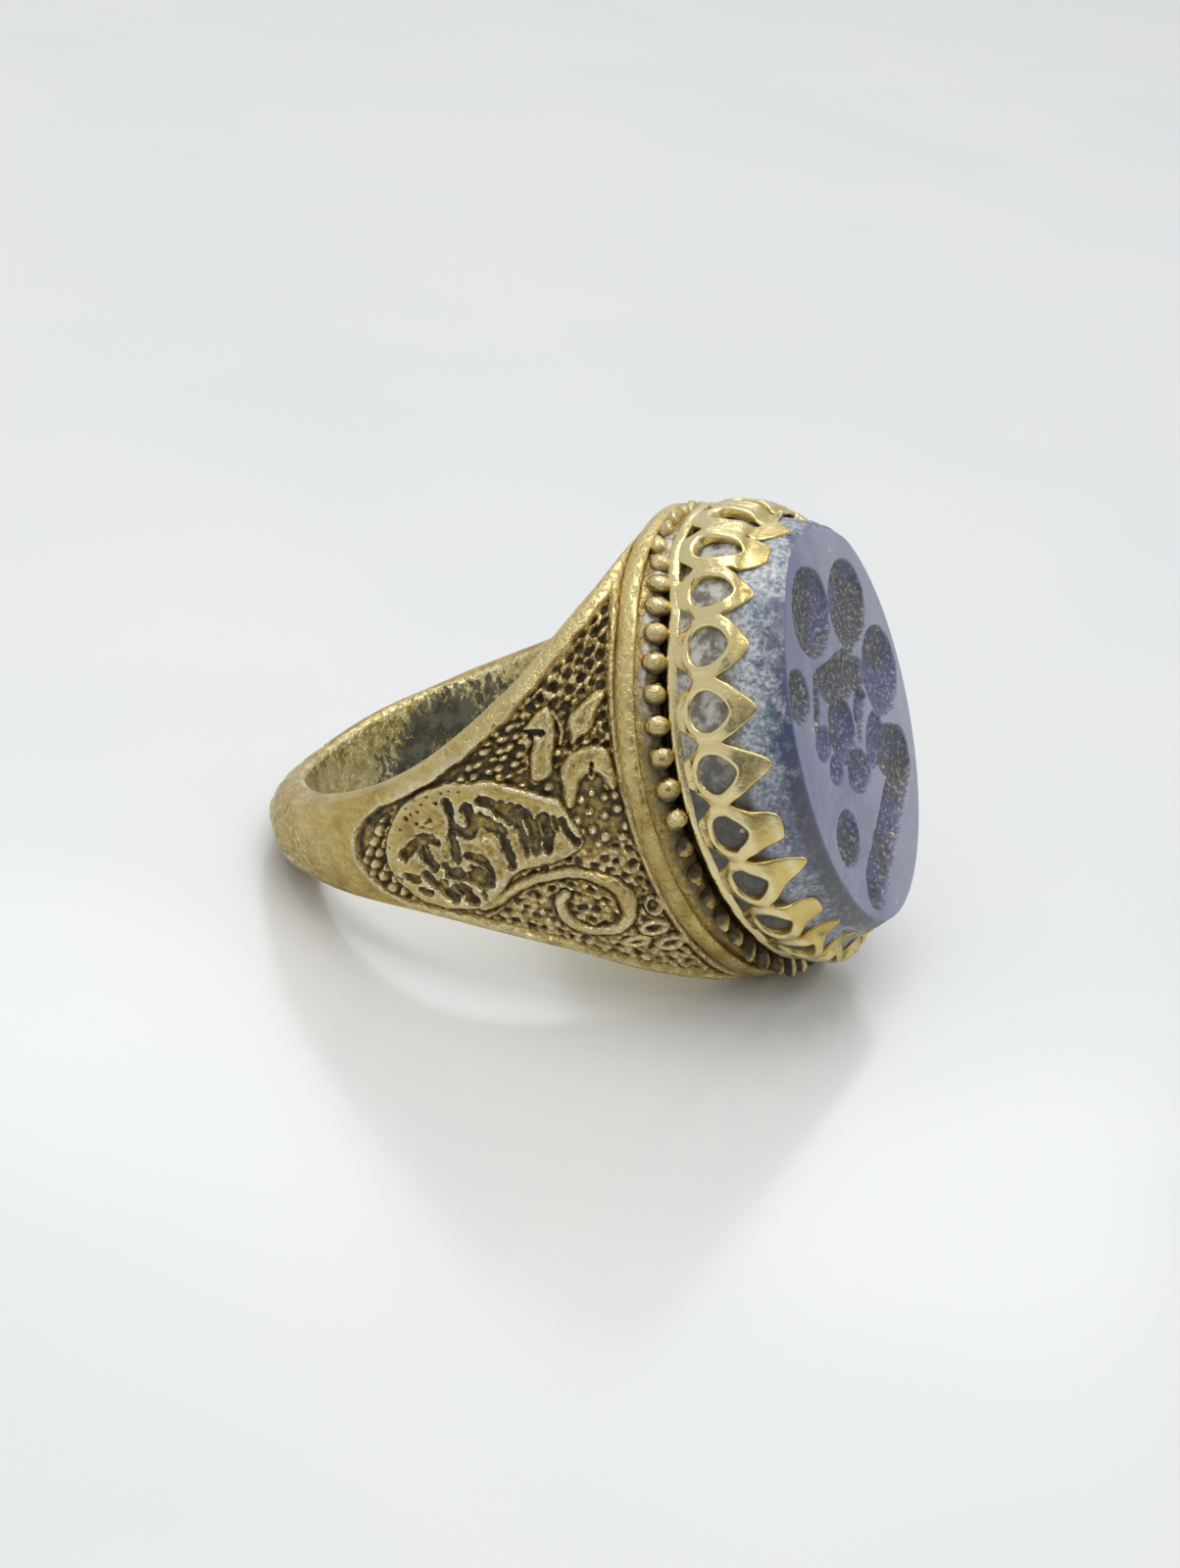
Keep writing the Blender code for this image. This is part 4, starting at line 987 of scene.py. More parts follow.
# How far the crown bulges out at the head's top end, by the rise over its rim
TOP_BULGE = ((-0.6, 0.0, 0.4, 1.0, 1.7, 2.4), (0.3, 0.42, 0.46, 0.36, 0.1, -0.12))
HOLE_SIZES = {0: 0.66, 1: 0.84, 22: 0.7, 23: 0.6}
TOOTH_WIDTHS = {0: 1.55, 1: 1.4, 22: 1.3, 23: 1.5}
print(TOOTH_COUNT, "teeth,", len(TOOTH_BENDS), "of them bent as on the real ring")

# %% [markdown]
# Both outlines are rounded and get the same number of points, one behind the other
# as seen from the middle of the hole. Loops between them then make the metal's
# front, and two more its back, with a raised lip round the hole and rounded edges.


# %% Loops of one arch
def mirrored(half):
    """Closed smooth outline in mm, from its right half."""
    left = [(-x, z) for x, z in half[-2:0:-1]]
    return rounded(tuple(half) + tuple(left), closed=True, turns=2) * (PITCH_MM, 1.0)


def evenly_spaced(path, count):
    """Path with this many evenly spaced steps."""
    run = np.concatenate([[0.0], np.cumsum(np.hypot(*np.diff(path, axis=0).T))])
    at = np.linspace(0.0, run[-1], count + 1)
    return np.stack([np.interp(at, run, path[:, 0]), np.interp(at, run, path[:, 1])], axis=-1)


def direction_of(path):
    """Direction of each point, seen from the middle of the hole."""
    return np.arctan2(*(path - MIDDLE).T[::-1]) % (2.0 * math.pi)


LOOP_POINTS = 96
MIDDLE = np.array((0.0, 1.6))
outline = evenly_spaced(mirrored(TOOTH_OUTLINE), LOOP_POINTS)
hole_path = mirrored(HOLE_OUTLINE)
hole_turn, out_turn = direction_of(hole_path), direction_of(outline)
order = np.argsort(hole_turn)
hole_far = np.hypot(*(hole_path - MIDDLE).T)
far = np.interp(out_turn, hole_turn[order], hole_far[order], period=2.0 * math.pi)
hole = MIDDLE + np.stack([np.cos(out_turn), np.sin(out_turn)], axis=-1) * far[:, None]

ROUND, LIP, BACK = 0.08, 0.05, CROWN_WALL + 0.06
OUTER_SHARES = np.array((0.0, 0.03, 0.08, 0.15, 0.24, 0.36, 0.52, 0.68, 0.82, 0.92, 0.97, 1.0))
INNER_SHARES = np.array((1.0, 0.6, 0.0))
free_edge = 1.0 - smooth((np.abs(outline[:, 0]) / PITCH_MM - 0.47) / 0.03)


def fall(inward, radius):
    """How far a rounded edge falls away, this far in from it."""
    share = np.clip(inward / radius, 0.0, 1.0)
    return radius * (1.0 - np.sqrt(1.0 - (1.0 - share) ** 2))


def tooth_loops(own_hole):
    """Closed loops from the hole to the edge and back behind, with their heights."""
    gap = outline - own_hole
    wide = np.hypot(*gap.T)
    rows, lifts = [], []
    for share in OUTER_SHARES:
        from_hole, from_edge = share * wide, (1.0 - share) * wide
        lift = -fall(from_hole, ROUND) - fall(from_edge, ROUND * (0.25 + 0.75 * free_edge))
        lip = LIP * smooth((own_hole[:, 1] + gap[:, 1] * share - 0.35) / 0.5)
        lift = lift + lip * np.exp(-((from_hole - 0.15) / 0.13) ** 2) + 0.03 * math.sin(math.pi * share)
        rows.append(own_hole + gap * share)
        lifts.append(lift)
    for share in INNER_SHARES:
        rows.append(own_hole + gap * share)
        lifts.append(np.full(len(wide), -BACK))
    rows.append(rows[0])
    lifts.append(lifts[0])
    return np.stack(rows), np.stack(lifts)


print(len(tooth_loops(hole)[0]), "loops of", LOOP_POINTS, "points in each arch")

# %% [markdown]
# Each arch is bent as its tooth was, then laid on the crown's surface. Its tip is
# pressed down to the stone, and the whole is a little uneven from the file.


# %% Arches and teeth
def bent_tooth(cell, flat, shift, longer):
    """Place along the crown in steps, rise over its rim, and share of the way up the tooth."""
    above = np.clip((flat[..., 1] - 2.0) / (TIP_RISE - 2.0), 0.0, None)
    blunt = BLUNT_HALF * (cell in BLUNT_TEETH) * smooth((flat[..., 1] - 2.6) / 1.0) * np.sign(flat[..., 0])
    broad = 1.0 + (TOOTH_WIDTHS.get(cell, 1.0) - 1.0) * smooth((flat[..., 1] - 2.1) / 0.6)
    x = broad * flat[..., 0] / PITCH_MM + shift * above ** 1.3
    x = x + blunt * np.minimum(1.0, np.abs(flat[..., 0]) / 0.1)
    z = flat[..., 1] + longer * above ** 2
    z = z + np.interp(cell + x, *VALLEY_DROPS) * smooth((z - 1.4) / 0.7) * np.clip((3.7 - z) / 1.6, 0.0, 1.0)
    return x, z, above


def room_over_stone(turn, z):
    """Room between the crown's surface and the stone."""
    oval = crown_oval(CROWN_RIM + z)
    drop = STONE_RISE - z
    stone_out = np.interp(drop, *np.array(SIDE_ROWS[:-3]).T[::-1]) + end_fill(drop) * np.cos(turn) ** 2
    return (oval[0] - FACE_W) * np.cos(turn) ** 2 + (oval[1] - FACE_V) * np.sin(turn) ** 2 - stone_out


def end_bulge(turn, rise):
    """How far the crown is pushed out at the head's top end."""
    return smooth((np.cos(turn) - 0.72) / 0.24) * np.interp(rise, *TOP_BULGE)


def add_tooth(cell):
    """One arch with its tooth."""
    chance = [float(lattice(np.array(cell), np.array(k), 71)) - 0.5 for k in range(3)]
    shift, longer = TOOTH_BENDS.get(cell, (0.3 * chance[0], 0.3 * chance[1]))
    flat, lift = tooth_loops(hole + (MIDDLE - hole) * (1.0 - HOLE_SIZES.get(cell, 1.0)))
    x, z, above = bent_tooth(cell, flat, shift, longer)
    turn = TOOTH_PHASE + (cell + x + np.interp(cell + x, *CELL_PLACES)) * PITCH
    near_tip = smooth((z - 2.2) / 1.0)
    hug = (0.13 - room_over_stone(turn, z)) * near_tip
    outer_row = np.arange(len(flat))[:, None] % (len(flat) - 1) < len(OUTER_SHARES)
    lift = np.where(outer_row, lift + hug, lift)
    filed = 0.006 * soft_noise(turn * 36.0, z * 5.0, 73) + 0.016 * soft_noise(turn * 12.0, z * 2.0, 79)
    out = lift + end_bulge(turn, z) * (1.0 - near_tip) + 0.08 * chance[2] * above + filed
    # Painted shade, with some dirt, down the walls of the hole and edges and on the arch's back; painted
    # highlight over its front.
    sides = np.clip(0.75 - np.abs(lift + 0.24) * 5.0, 0.0, 1.0)
    dirt_and_shade = np.maximum(sides * (lift < -0.1), 0.8 * (lift < -0.38))
    rub_and_painted_shine = np.clip(1.0 - np.abs(lift - 0.05) / 0.08, 0.0, 1.0)
    return add_sheet(f"tooth_{cell + 1}", crown_points(turn, CROWN_RIM + z, out), patina=dirt_and_shade, rub=rub_and_painted_shine)


teeth = [add_tooth(cell) for cell in range(TOOTH_COUNT)]
print(len(teeth), "teeth laid on the crown")

# %% [markdown]
# The foot band is one closed profile carried once round the oval, as a strip of
# sheet would be bent. It is darker at its foot, where it meets the bed, and on its
# inner side under the arches, dirt with painted shade, and the rest takes a painted highlight.

# %% Foot band of the crown
# How far out, how far up, and how dark: dirt with painted shade, the rest painted highlight
BAND = (
    (-0.36, -0.55, 0.9), (-0.2, -0.5, 0.8), (-0.06, -0.12, 0.5), (0.0, -0.06, 0.3), (0.05, 0.0, 0.1),
    (0.085, 0.08, 0.0), (0.07, 0.17, 0.05), (0.03, 0.24, 0.2), (0.01, 0.32, 0.2), (-0.03, 0.37, 0.3),
    (-0.1, 0.4, 0.6), (-0.38, 0.4, 0.9), (-0.42, -0.2, 0.9), (-0.36, -0.55, 0.9),
)
band_turn = np.linspace(0.0, 2.0 * math.pi, 361)
rows = []
for out, rise, _ in BAND:
    uneven = 0.02 * soft_noise(10.0 * np.cos(band_turn), 10.0 * np.sin(band_turn) + rise, 83)
    level = np.full(band_turn.shape, CROWN_RIM + rise)
    rows.append(crown_points(band_turn, level, out + uneven + end_bulge(band_turn, rise)))
band_dirt_and_shade = np.repeat(np.array(BAND)[:, 2:], len(band_turn), axis=1)
# Painted highlight wherever the band is not darkened.
foot_band = add_sheet("foot_band", np.stack(rows), patina=band_dirt_and_shade, rub=1.0 - band_dirt_and_shade)
crown = join_sheets(teeth + [foot_band], "pierced_crown", merge=0.0004, sharp=60.0)
describe(crown)

# %% [markdown]
# The stone is a low cone of lapis lazuli. Its face was ground flat and then cut
# with a bow drill: round scoops from a ball-headed tool and long troughs from a
# wheel. Cutters could be taken away from a solid, but where cuts cross, one depth for
# each point gives cleaner edges, so a cut only says how deep it goes where.

# %% Cuts in the face
# The middle of each scoop, its half sizes, its turn in degrees and its depth
SCOOPS = (
    (-1.83, 5.42, 2.1, 1.85, 0.0, 0.5), (2.28, 4.47, 2.12, 1.87, 0.0, 0.5),
    (4.15, 0.88, 2.1, 1.93, 0.0, 0.52), (-5.25, 3.0, 1.2, 1.12, 0.0, 0.22),
    (-3.75, -3.65, 1.28, 1.16, 0.0, 0.34), (-3.87, 0.5, 0.9, 0.72, 0.0, 0.25),
    (-0.55, 2.15, 2.4, 0.98, -8.0, 0.34), (-1.58, 0.33, 1.45, 1.5, 0.0, 0.46),
    (-0.83, -1.83, 1.35, 0.92, -12.0, 0.4), (-3.2, -0.87, 0.75, 0.62, 0.0, 0.26),
    (1.7, -1.35, 1.4, 0.9, 35.0, 0.38), (0.9, 0.5, 0.95, 0.6, 40.0, 0.3), (1.5, 1.6, 0.9, 0.7, 10.0, 0.26),
)
# The two ends of each trough, its half width and its depth
TROUGHS = (
    ((-2.0, -6.35), (4.15, -3.35), 1.1, 0.5), ((2.5, -2.1), (4.2, -2.75), 1.1, 0.48),
    ((-3.05, 2.95), (-4.15, 1.3), 0.3, 0.2), ((-2.75, 3.05), (1.6, 2.75), 0.24, 0.2),
    ((0.2, -0.6), (1.5, 0.6), 0.34, 0.34),
)


def face_depths(v, w):
    """How deep the face is cut at each point, and how rough it is there."""
    vv = v + 0.05 * soft_noise(v * 2.0, w * 2.0, 91)
    ww = w + 0.05 * soft_noise(v * 2.0, w * 2.0, 92)
    depth = np.zeros_like(v)
    for cv, cw, half_v, half_w, turn, deep in SCOOPS:
        a = math.radians(turn)
        x = ((vv - cv) * math.cos(a) + (ww - cw) * math.sin(a)) / half_v
        y = (-(vv - cv) * math.sin(a) + (ww - cw) * math.cos(a)) / half_w
        depth = np.maximum(depth, deep * np.sqrt(np.clip(1.0 - x * x - y * y, 0.0, 1.0)))
    for start, end, half, deep in TROUGHS:
        near = path_distance(vv, ww, np.array((start, end))) / half
        depth = np.maximum(depth, deep * np.sqrt(np.clip(1.0 - near ** 2, 0.0, 1.0)))
    cut = smooth(depth / 0.07)
    grit = 0.04 * rough_noise(v * 4.5, w * 6.0, 95) + 0.025 * rough_noise(v * 13.0, w * 13.0, 97, 2)
    return depth + grit * cut, cut


print(len(SCOOPS), "scoops and", len(TROUGHS), "troughs")

# %% [markdown]
# The face is one sheet. A square grid is drawn round to an oval, which leaves no pole
# in the middle where the cuts are, and its points sink by the depth of the cuts.

# %% Face of the stone
FACE_POINTS = 225
line = np.linspace(-1.0, 1.0, FACE_POINTS)
across, along = np.meshgrid(line, line)
disc_v = across * np.sqrt(1.0 - along ** 2 / 2.0)
disc_w = along * np.sqrt(1.0 - across ** 2 / 2.0)
face_v, face_w = disc_v * FACE_V, disc_w * FACE_W
depth, cut = face_depths(face_v, face_w)
rim = np.clip(1.0 - np.hypot(disc_v, disc_w), 0.0, 1.0)
depth = depth * smooth(rim / 0.012)
polish = 0.008 * soft_noise(face_v * 0.7, face_w * 0.7, 99) * smooth(rim / 0.05)
face_points = np.stack([FACE + HEAD_LEAN * face_w - depth + polish, face_v, face_w], axis=-1)
face_sheet = add_sheet("face", face_points, cut=cut, side=np.zeros_like(cut))
print("deepest cut", round(float(depth.max()), 2), "mm")

# %% [markdown]
# The side is a second sheet. It starts at the face's edge, point for point, so that
# the two can be joined, and hangs from it down into the crown.


# %% Side of the stone
def round_edge(grid):
    """Values along the edge of a grid, once round it."""
    return np.concatenate([grid[0], grid[1:, -1], grid[-1, -2::-1], grid[-2::-1, 0]])


edge_v, edge_w = round_edge(face_v) / FACE_V, round_edge(face_w) / FACE_W
rows = []
for out, drop in SIDE_ROWS:
    level = FACE - drop
    bend = np.interp(level, (CROWN_FOOT, CROWN_RIM, TIP, FACE), (FOOT_SADDLE, CROWN_SADDLE, TIP_SADDLE, 0.0))
    lean = np.interp(level, (CROWN_RIM, TIP, FACE), (HEAD_LEAN, TIP_LEAN * 0.4, HEAD_LEAN))
    grain = 0.03 * rough_noise(edge_v * 14.0 + 3.0, edge_w * 14.0 + drop * 2.0, 101) * smooth(drop / 0.3)
    v, w = edge_v * (FACE_V + out + grain), edge_w * (FACE_W + out + grain + end_fill(drop))
    u = level + bend * (edge_w ** 2 - edge_v ** 2) + lean * w
    rows.append(np.stack([u, v, w], axis=-1))
rows.append(np.repeat(np.array([[FACE - STONE_DROP, 0.0, 0.0]]), len(edge_v), axis=0))
side_share = np.repeat(smooth(np.arange(len(rows)) / 3.0)[:, None], len(edge_v), axis=1)
side_sheet = add_sheet("stone_side", np.stack(rows), cut=np.zeros(side_share.shape), side=side_share)
stone = join_sheets([face_sheet, side_sheet], "cut_lapis", merge=0.0015, sharp=35.0)
describe(stone)

# %% [markdown]
# Materials are small node graphs. They could be built by hand in the shader editor,
# but here each kind of step is a short method that adds its node and sets its
# sockets, so a finish reads like a recipe. Patterns lie on the piece's own
# coordinates, in metres, or on the ring's axes, in millimetres.


# %% Node helpers
class Finish:
    """Node graph of one material."""

    def __init__(self, name):
        self.material = bpy.data.materials.new(name)
        self.material.use_nodes = True
        self.nodes = self.material.node_tree.nodes
        self.links = self.material.node_tree.links
        self.shader = self.nodes["Principled BSDF"]
        self.place = self.nodes.new("ShaderNodeTexCoord").outputs["Object"]

    def set(self, socket, value):
        """Give a socket a number, a colour or another node's output."""
        if isinstance(value, bpy.types.NodeSocket):
            self.links.new(value, socket)
        elif isinstance(value, tuple) and len(value) == 3 and socket.type == "RGBA":
            socket.default_value = (*value, 1.0)
        else:
            socket.default_value = value

    def noise(self, scale, detail=4.0, rough=0.55, place=None, warp=0.0):
        """Noise with this many bumps to a metre."""
        node = self.nodes.new("ShaderNodeTexNoise")
        self.set(node.inputs["Vector"], place or self.place)
        self.set(node.inputs["Scale"], scale)
        self.set(node.inputs["Detail"], detail)
        self.set(node.inputs["Roughness"], rough)
        self.set(node.inputs["Distortion"], warp)
        return node.outputs["Fac"]

    def layer(self, name):
        """Value that the mesh keeps on its points."""
        node = self.nodes.new("ShaderNodeAttribute")
        node.attribute_name = name
        return node.outputs["Fac"]

    def math(self, kind, a, b=0.0):
        """Arithmetic on one or two values."""
        node = self.nodes.new("ShaderNodeMath")
        node.operation = kind
        self.set(node.inputs[0], a)
        self.set(node.inputs[1], b)
        return node.outputs[0]

    def plus(self, a, b):
        """The sum of two values."""
        return self.math("ADD", a, b)

    def minus(self, a, b):
        """One value less another."""
        return self.math("SUBTRACT", a, b)

    def times(self, a, b):
        """The product of two values."""
        return self.math("MULTIPLY", a, b)

    def swing(self, value, reach):
        """A value from 0 to 1 as a swing to both sides of nought."""
        return self.times(self.minus(value, 0.5), reach)

    def span(self, value, low, high, start=0.0, end=1.0):
        """Ease a value from one span to another."""
        node = self.nodes.new("ShaderNodeMapRange")
        node.interpolation_type = "SMOOTHSTEP"
        for socket, number in zip(node.inputs, (value, low, high, start, end)):
            self.set(socket, number)
        return node.outputs[0]

    def mix(self, share, first, second):
        """Blend two colours."""
        node = self.nodes.new("ShaderNodeMix")
        node.data_type = "RGBA"
        self.set(node.inputs[0], share)
        self.set(node.inputs[6], first)
        self.set(node.inputs[7], second)
        return node.outputs[2]

    def bump(self, height, strength, distance, under=None):
        """Small unevenness for the reflections."""
        node = self.nodes.new("ShaderNodeBump")
        self.set(node.inputs["Height"], height)
        self.set(node.inputs["Strength"], strength)
        self.set(node.inputs["Distance"], distance)
        if under is not None:
            self.set(node.inputs["Normal"], under)
        return node.outputs["Normal"]

    def turned(self, location, rotation, scale):
        """The piece's coordinates on axes that stand elsewhere, are turned and are longer."""
        node = self.nodes.new("ShaderNodeMapping")
        node.vector_type = "TEXTURE"
        self.set(node.inputs["Vector"], self.place)
        node.inputs["Location"].default_value = location
        node.inputs["Rotation"].default_value = rotation
        node.inputs["Scale"].default_value = scale
        return node.outputs[0]

    def split(self, vector):
        """The three parts of a vector."""
        node = self.nodes.new("ShaderNodeSeparateXYZ")
        self.set(node.inputs[0], vector)
        return node.outputs

    def ring_axes(self):
        """Place on the ring's axes u, v and w, in mm."""
        centre = (RING_CENTRE[0] * MM, 0.0, RING_CENTRE[2] * MM)
        return self.split(self.turned(centre, (0.0, -REST_TILT, 0.0), (MM, MM, MM)))


print("a finish has", sum(map(callable, vars(Finish).values())) - 1, "kinds of step")

# %% [markdown]
# The brass needs three things at once: a warm metal whose tone drifts, dark dirt
# that stays in the hollows, and a fine pitted skin that breaks its reflections up.
# One flat colour would look like plastic, so the tone changes with noise, with the
# rubbed places and painted highlights that the mesh remembers, and with the height
# over the table, paler higher up as painted light from above.


# %% Tones of brass, dirt and painted light
def brass_tone(f, tones, fine, rub, stain_and_shade, height):
    """Colour of the metal, with painted highlights where rubbed and paler higher up as painted light."""
    gold, pale, deep, highlight_tone, worn = tones
    metal = f.mix(f.span(f.noise(260.0, 3.0), 0.35, 0.65), gold, pale)
    metal = f.mix(f.span(f.noise(900.0, 4.0, 0.6), 0.42, 0.72), metal, deep)
    # Painted highlight, on places that are also rubbed.
    metal = f.mix(f.times(rub, 0.75), metal, highlight_tone)
    # Paler the higher it stands over the table: painted light from above.
    metal = f.mix(f.span(height, 0.008, 0.0145, 0.0, 0.6), metal, worn)
    metal = f.mix(f.times(f.span(stain_and_shade, 0.2, 0.55), 0.4), metal, deep)
    olive = f.mix(f.span(fine, 0.35, 0.65), (0.52, 0.44, 0.19), (0.84, 0.74, 0.42))
    return f.mix(f.layer("inside"), metal, olive)


def dirt_and_shade_tone(f, height):
    """Colour of the dirt and the painted shade: dark soot, or a crust that is chalky below and brown above.
    """
    soot_and_shade = f.mix(f.span(f.noise(2400.0, 3.0), 0.4, 0.65), (0.072, 0.048, 0.02), (0.165, 0.135, 0.08))
    lumps = f.span(f.noise(1500.0, 5.0, 0.6), 0.42, 0.6)
    chalk = f.mix(lumps, (0.26, 0.22, 0.15), (0.88, 0.86, 0.8))
    brown = f.mix(lumps, (0.08, 0.06, 0.03), (0.26, 0.2, 0.11))
    crust = f.mix(f.span(height, 0.0105, 0.0145, 1.0, 0.0), chalk, brown)
    return f.mix(f.layer("crust"), soot_and_shade, crust)


print("metal and dirt have their tones")

# %% [markdown]
# Two marks belong to the shank alone: the dimpled cast skin at the palm, and a
# ragged black patch on the wall of the finger hole. Both follow the ring's axes.


# %% Marks of the shank
def orange_peel(f, tones, palm, metal, skin):
    """Dimpled skin of the palm in relief, with painted shade in the dimples and painted highlights on the
    bumps.
    """
    deep, highlight_tone = tones[2:4]
    peel = f.noise(4600.0, 2.0, 0.6)
    # Painted shade where the skin is low, painted highlight where it is high.
    metal = f.mix(f.times(f.span(peel, 0.4, 0.52, 0.5, 0.0), palm), metal, deep)
    metal = f.mix(f.times(f.span(peel, 0.53, 0.68, 0.0, 0.45), palm), metal, highlight_tone)
    return metal, f.bump(f.times(peel, palm), 0.8, 0.00014, under=skin)


def black_patch(f, fine, inside, axes, dirt_and_shade, soot_and_shade):
    """Ragged black oval in the finger hole."""
    along = f.times(f.minus(axes[1], 5.6), 0.37)
    slope = f.times(f.minus(axes[1], 5.8), 0.42)
    across = f.times(f.minus(axes[2], slope), 0.66)
    reach = f.math("SQRT", f.plus(f.times(along, along), f.times(across, across)))
    streaks = f.turned((0.0, 0.0, 0.0), (0.3, 0.0, 0.0), (0.0004, 0.0004, 0.0011))
    hairs = f.noise(1.0, 5.0, 0.75, place=streaks, warp=0.4)
    patch = f.span(f.plus(reach, f.swing(hairs, 3.6)), 0.7, 0.95, 1.0, 0.0)
    black = f.times(f.times(patch, inside), f.math("LESS_THAN", axes[0], 0.0))
    tone = f.mix(f.span(fine, 0.4, 0.62), (0.026, 0.034, 0.034), (0.1, 0.11, 0.1))
    return f.math("MAXIMUM", dirt_and_shade, f.times(black, 0.88)), f.mix(black, soot_and_shade, tone)


print("the shank has its two marks")

# %% [markdown]
# One recipe then serves three pieces. The stain, which holds painted shade as well,
# decides where metal ends and the dark tone begins, and that tone is rougher and less
# metallic. The shank is the most pitted, as it came from the mould, and the crown is
# smooth, because it was sawn and filed.


# %% Brass of the shank, beads and crown
def brass(name, tones, roughness, dirt_and_shade_edge, pit_depth, marked=False):
    """Worn brass with dirt in its hollows, painted shade and painted highlights, and with the shank's marks
    if it has them.
    """
    f = Finish(name)
    fine = f.noise(1500.0, 5.0, 0.6)
    rub = f.layer("rub")
    stain_and_shade = f.plus(f.layer("patina"), f.minus(fine, 0.5))
    height = f.split(f.place)[2]
    metal = brass_tone(f, tones, fine, rub, stain_and_shade, height)
    dirt_and_shade = f.span(stain_and_shade, dirt_and_shade_edge, dirt_and_shade_edge + 0.38)
    soot_and_shade = dirt_and_shade_tone(f, height)
    skin = f.bump(f.span(f.noise(3600.0, 4.0, 0.65), 0.3, 0.55), 0.6, pit_depth)
    if marked:
        inside, axes = f.layer("inside"), f.ring_axes()
        palm = f.times(f.span(axes[0], -7.5, -4.0, 1.0, 0.0), f.minus(1.0, inside))
        metal, skin = orange_peel(f, tones, palm, metal, skin)
        dirt_and_shade, soot_and_shade = black_patch(f, fine, inside, axes, dirt_and_shade, soot_and_shade)
    # The dark tone goes where the mesh holds dirt and painted shade.
    f.set(f.shader.inputs["Base Color"], f.mix(dirt_and_shade, metal, soot_and_shade))
    f.set(f.shader.inputs["Metallic"], f.minus(1.0, f.times(dirt_and_shade, 0.8)))
    rough = f.plus(f.plus(roughness, f.swing(fine, 0.2)), f.times(dirt_and_shade, 0.3))
    f.set(f.shader.inputs["Roughness"], f.minus(rough, f.times(rub, 0.12)))
    f.set(f.shader.inputs["Normal"], f.bump(fine, 0.4, pit_depth * 2.0, under=skin))
    return f.material


# Tones of each brass: gold, pale, deep, painted highlight, and the paler top that is painted light
CAST_TONES = (
    (0.58, 0.425, 0.13), (0.68, 0.535, 0.22), (0.4, 0.275, 0.075), (1.0, 0.93, 0.7), (0.78, 0.65, 0.33),
)
BEAD_TONES = (
    (0.6, 0.45, 0.15), (0.72, 0.58, 0.27), (0.42, 0.3, 0.09), (0.97, 0.86, 0.54), (0.72, 0.6, 0.32),
)
CROWN_TONES = (
    (0.66, 0.485, 0.14), (0.74, 0.59, 0.23), (0.55, 0.39, 0.1), (0.9, 0.79, 0.48), (0.82, 0.7, 0.38),
)
cast_brass = brass("cast_brass_skin", CAST_TONES, 0.31, 0.5, 0.00009, marked=True)
bead_brass = brass("bead_brass_skin", BEAD_TONES, 0.27, 0.5, 0.00005)
crown_brass = brass("crown_brass_skin", CROWN_TONES, 0.27, 0.62, 0.000015)
print("brass finishes:", cast_brass.name, bead_brass.name, crown_brass.name)

# %% [markdown]
# The lapis is a cloudy blue. Its polished face is greyer, with a painted sheen that
# makes it paler towards one side, and its side is darker with drifts of teal. Three
# noises serve for all of it: a broad one for clouds, a middle one for grain and a
# fine one for specks.

# %% Blues of the lapis
f = Finish("lapis_lazuli")
axes = f.ring_axes()
cloud = f.noise(300.0, 6.0, 0.6, warp=0.6)
grain = f.noise(1800.0, 6.0, 0.65)
speck = f.noise(5200.0, 4.0, 0.7)
face_blue_and_sheen = f.mix(f.span(cloud, 0.4, 0.62), (0.135, 0.152, 0.275), (0.205, 0.225, 0.345))
# Painted sheen: the face grows paler towards one side.
face_blue_and_sheen = f.mix(f.span(axes[1], -3.5, 6.5, 0.0, 0.5), face_blue_and_sheen, (0.42, 0.44, 0.52))
blue = f.mix(f.span(cloud, 0.35, 0.65), (0.055, 0.068, 0.15), (0.13, 0.14, 0.225))
teal = f.mix(f.span(f.noise(420.0, 5.0, 0.6), 0.48, 0.64), blue, (0.04, 0.105, 0.19))
teal = f.mix(f.span(speck, 0.5, 0.68, 0.0, 0.55), teal, (0.36, 0.38, 0.4))
teal = f.mix(f.span(speck, 0.34, 0.5, 0.55, 0.0), teal, (0.025, 0.027, 0.05))
low_grey = f.mix(f.span(speck, 0.4, 0.6), (0.075, 0.075, 0.08), (0.2, 0.2, 0.19))
teal = f.mix(f.span(axes[2], -6.5, -2.5, 0.55, 0.0), teal, low_grey)
edge_band = f.span(f.plus(axes[0], f.times(cloud, 0.5)), 15.0, 15.25, 0.0, 0.75)
edge_tone = f.mix(f.span(axes[2], -2.0, 3.0), (0.075, 0.07, 0.075), (0.055, 0.06, 0.14))
side = f.layer("side")
stone_colour = f.mix(side, face_blue_and_sheen, f.mix(edge_band, teal, edge_tone))
print("face and side have their blues")

# %% [markdown]
# Pale dust lies on the side just over the crown and thins out ragged upwards. Lower
# down, behind the arches, grime with painted shade fills in: nearly black at the
# lower end, pale at the top end. The level on the ring's own axes says where each
# begins.

# %% Dust, grime and painted shade on the stone's side
high = f.span(axes[2], -1.0, 3.5)
dust_level = f.plus(f.plus(axes[0], f.swing(cloud, 4.0)), f.swing(grain, 4.5))
dust = f.times(f.span(dust_level, 13.9, 15.2, 1.0, 0.0), side)
dust_tone = f.mix(f.span(speck, 0.36, 0.62), (0.2, 0.22, 0.25), (0.66, 0.69, 0.73))
stone_colour = f.mix(f.times(dust, f.plus(0.5, f.times(high, 0.42))), stone_colour, dust_tone)
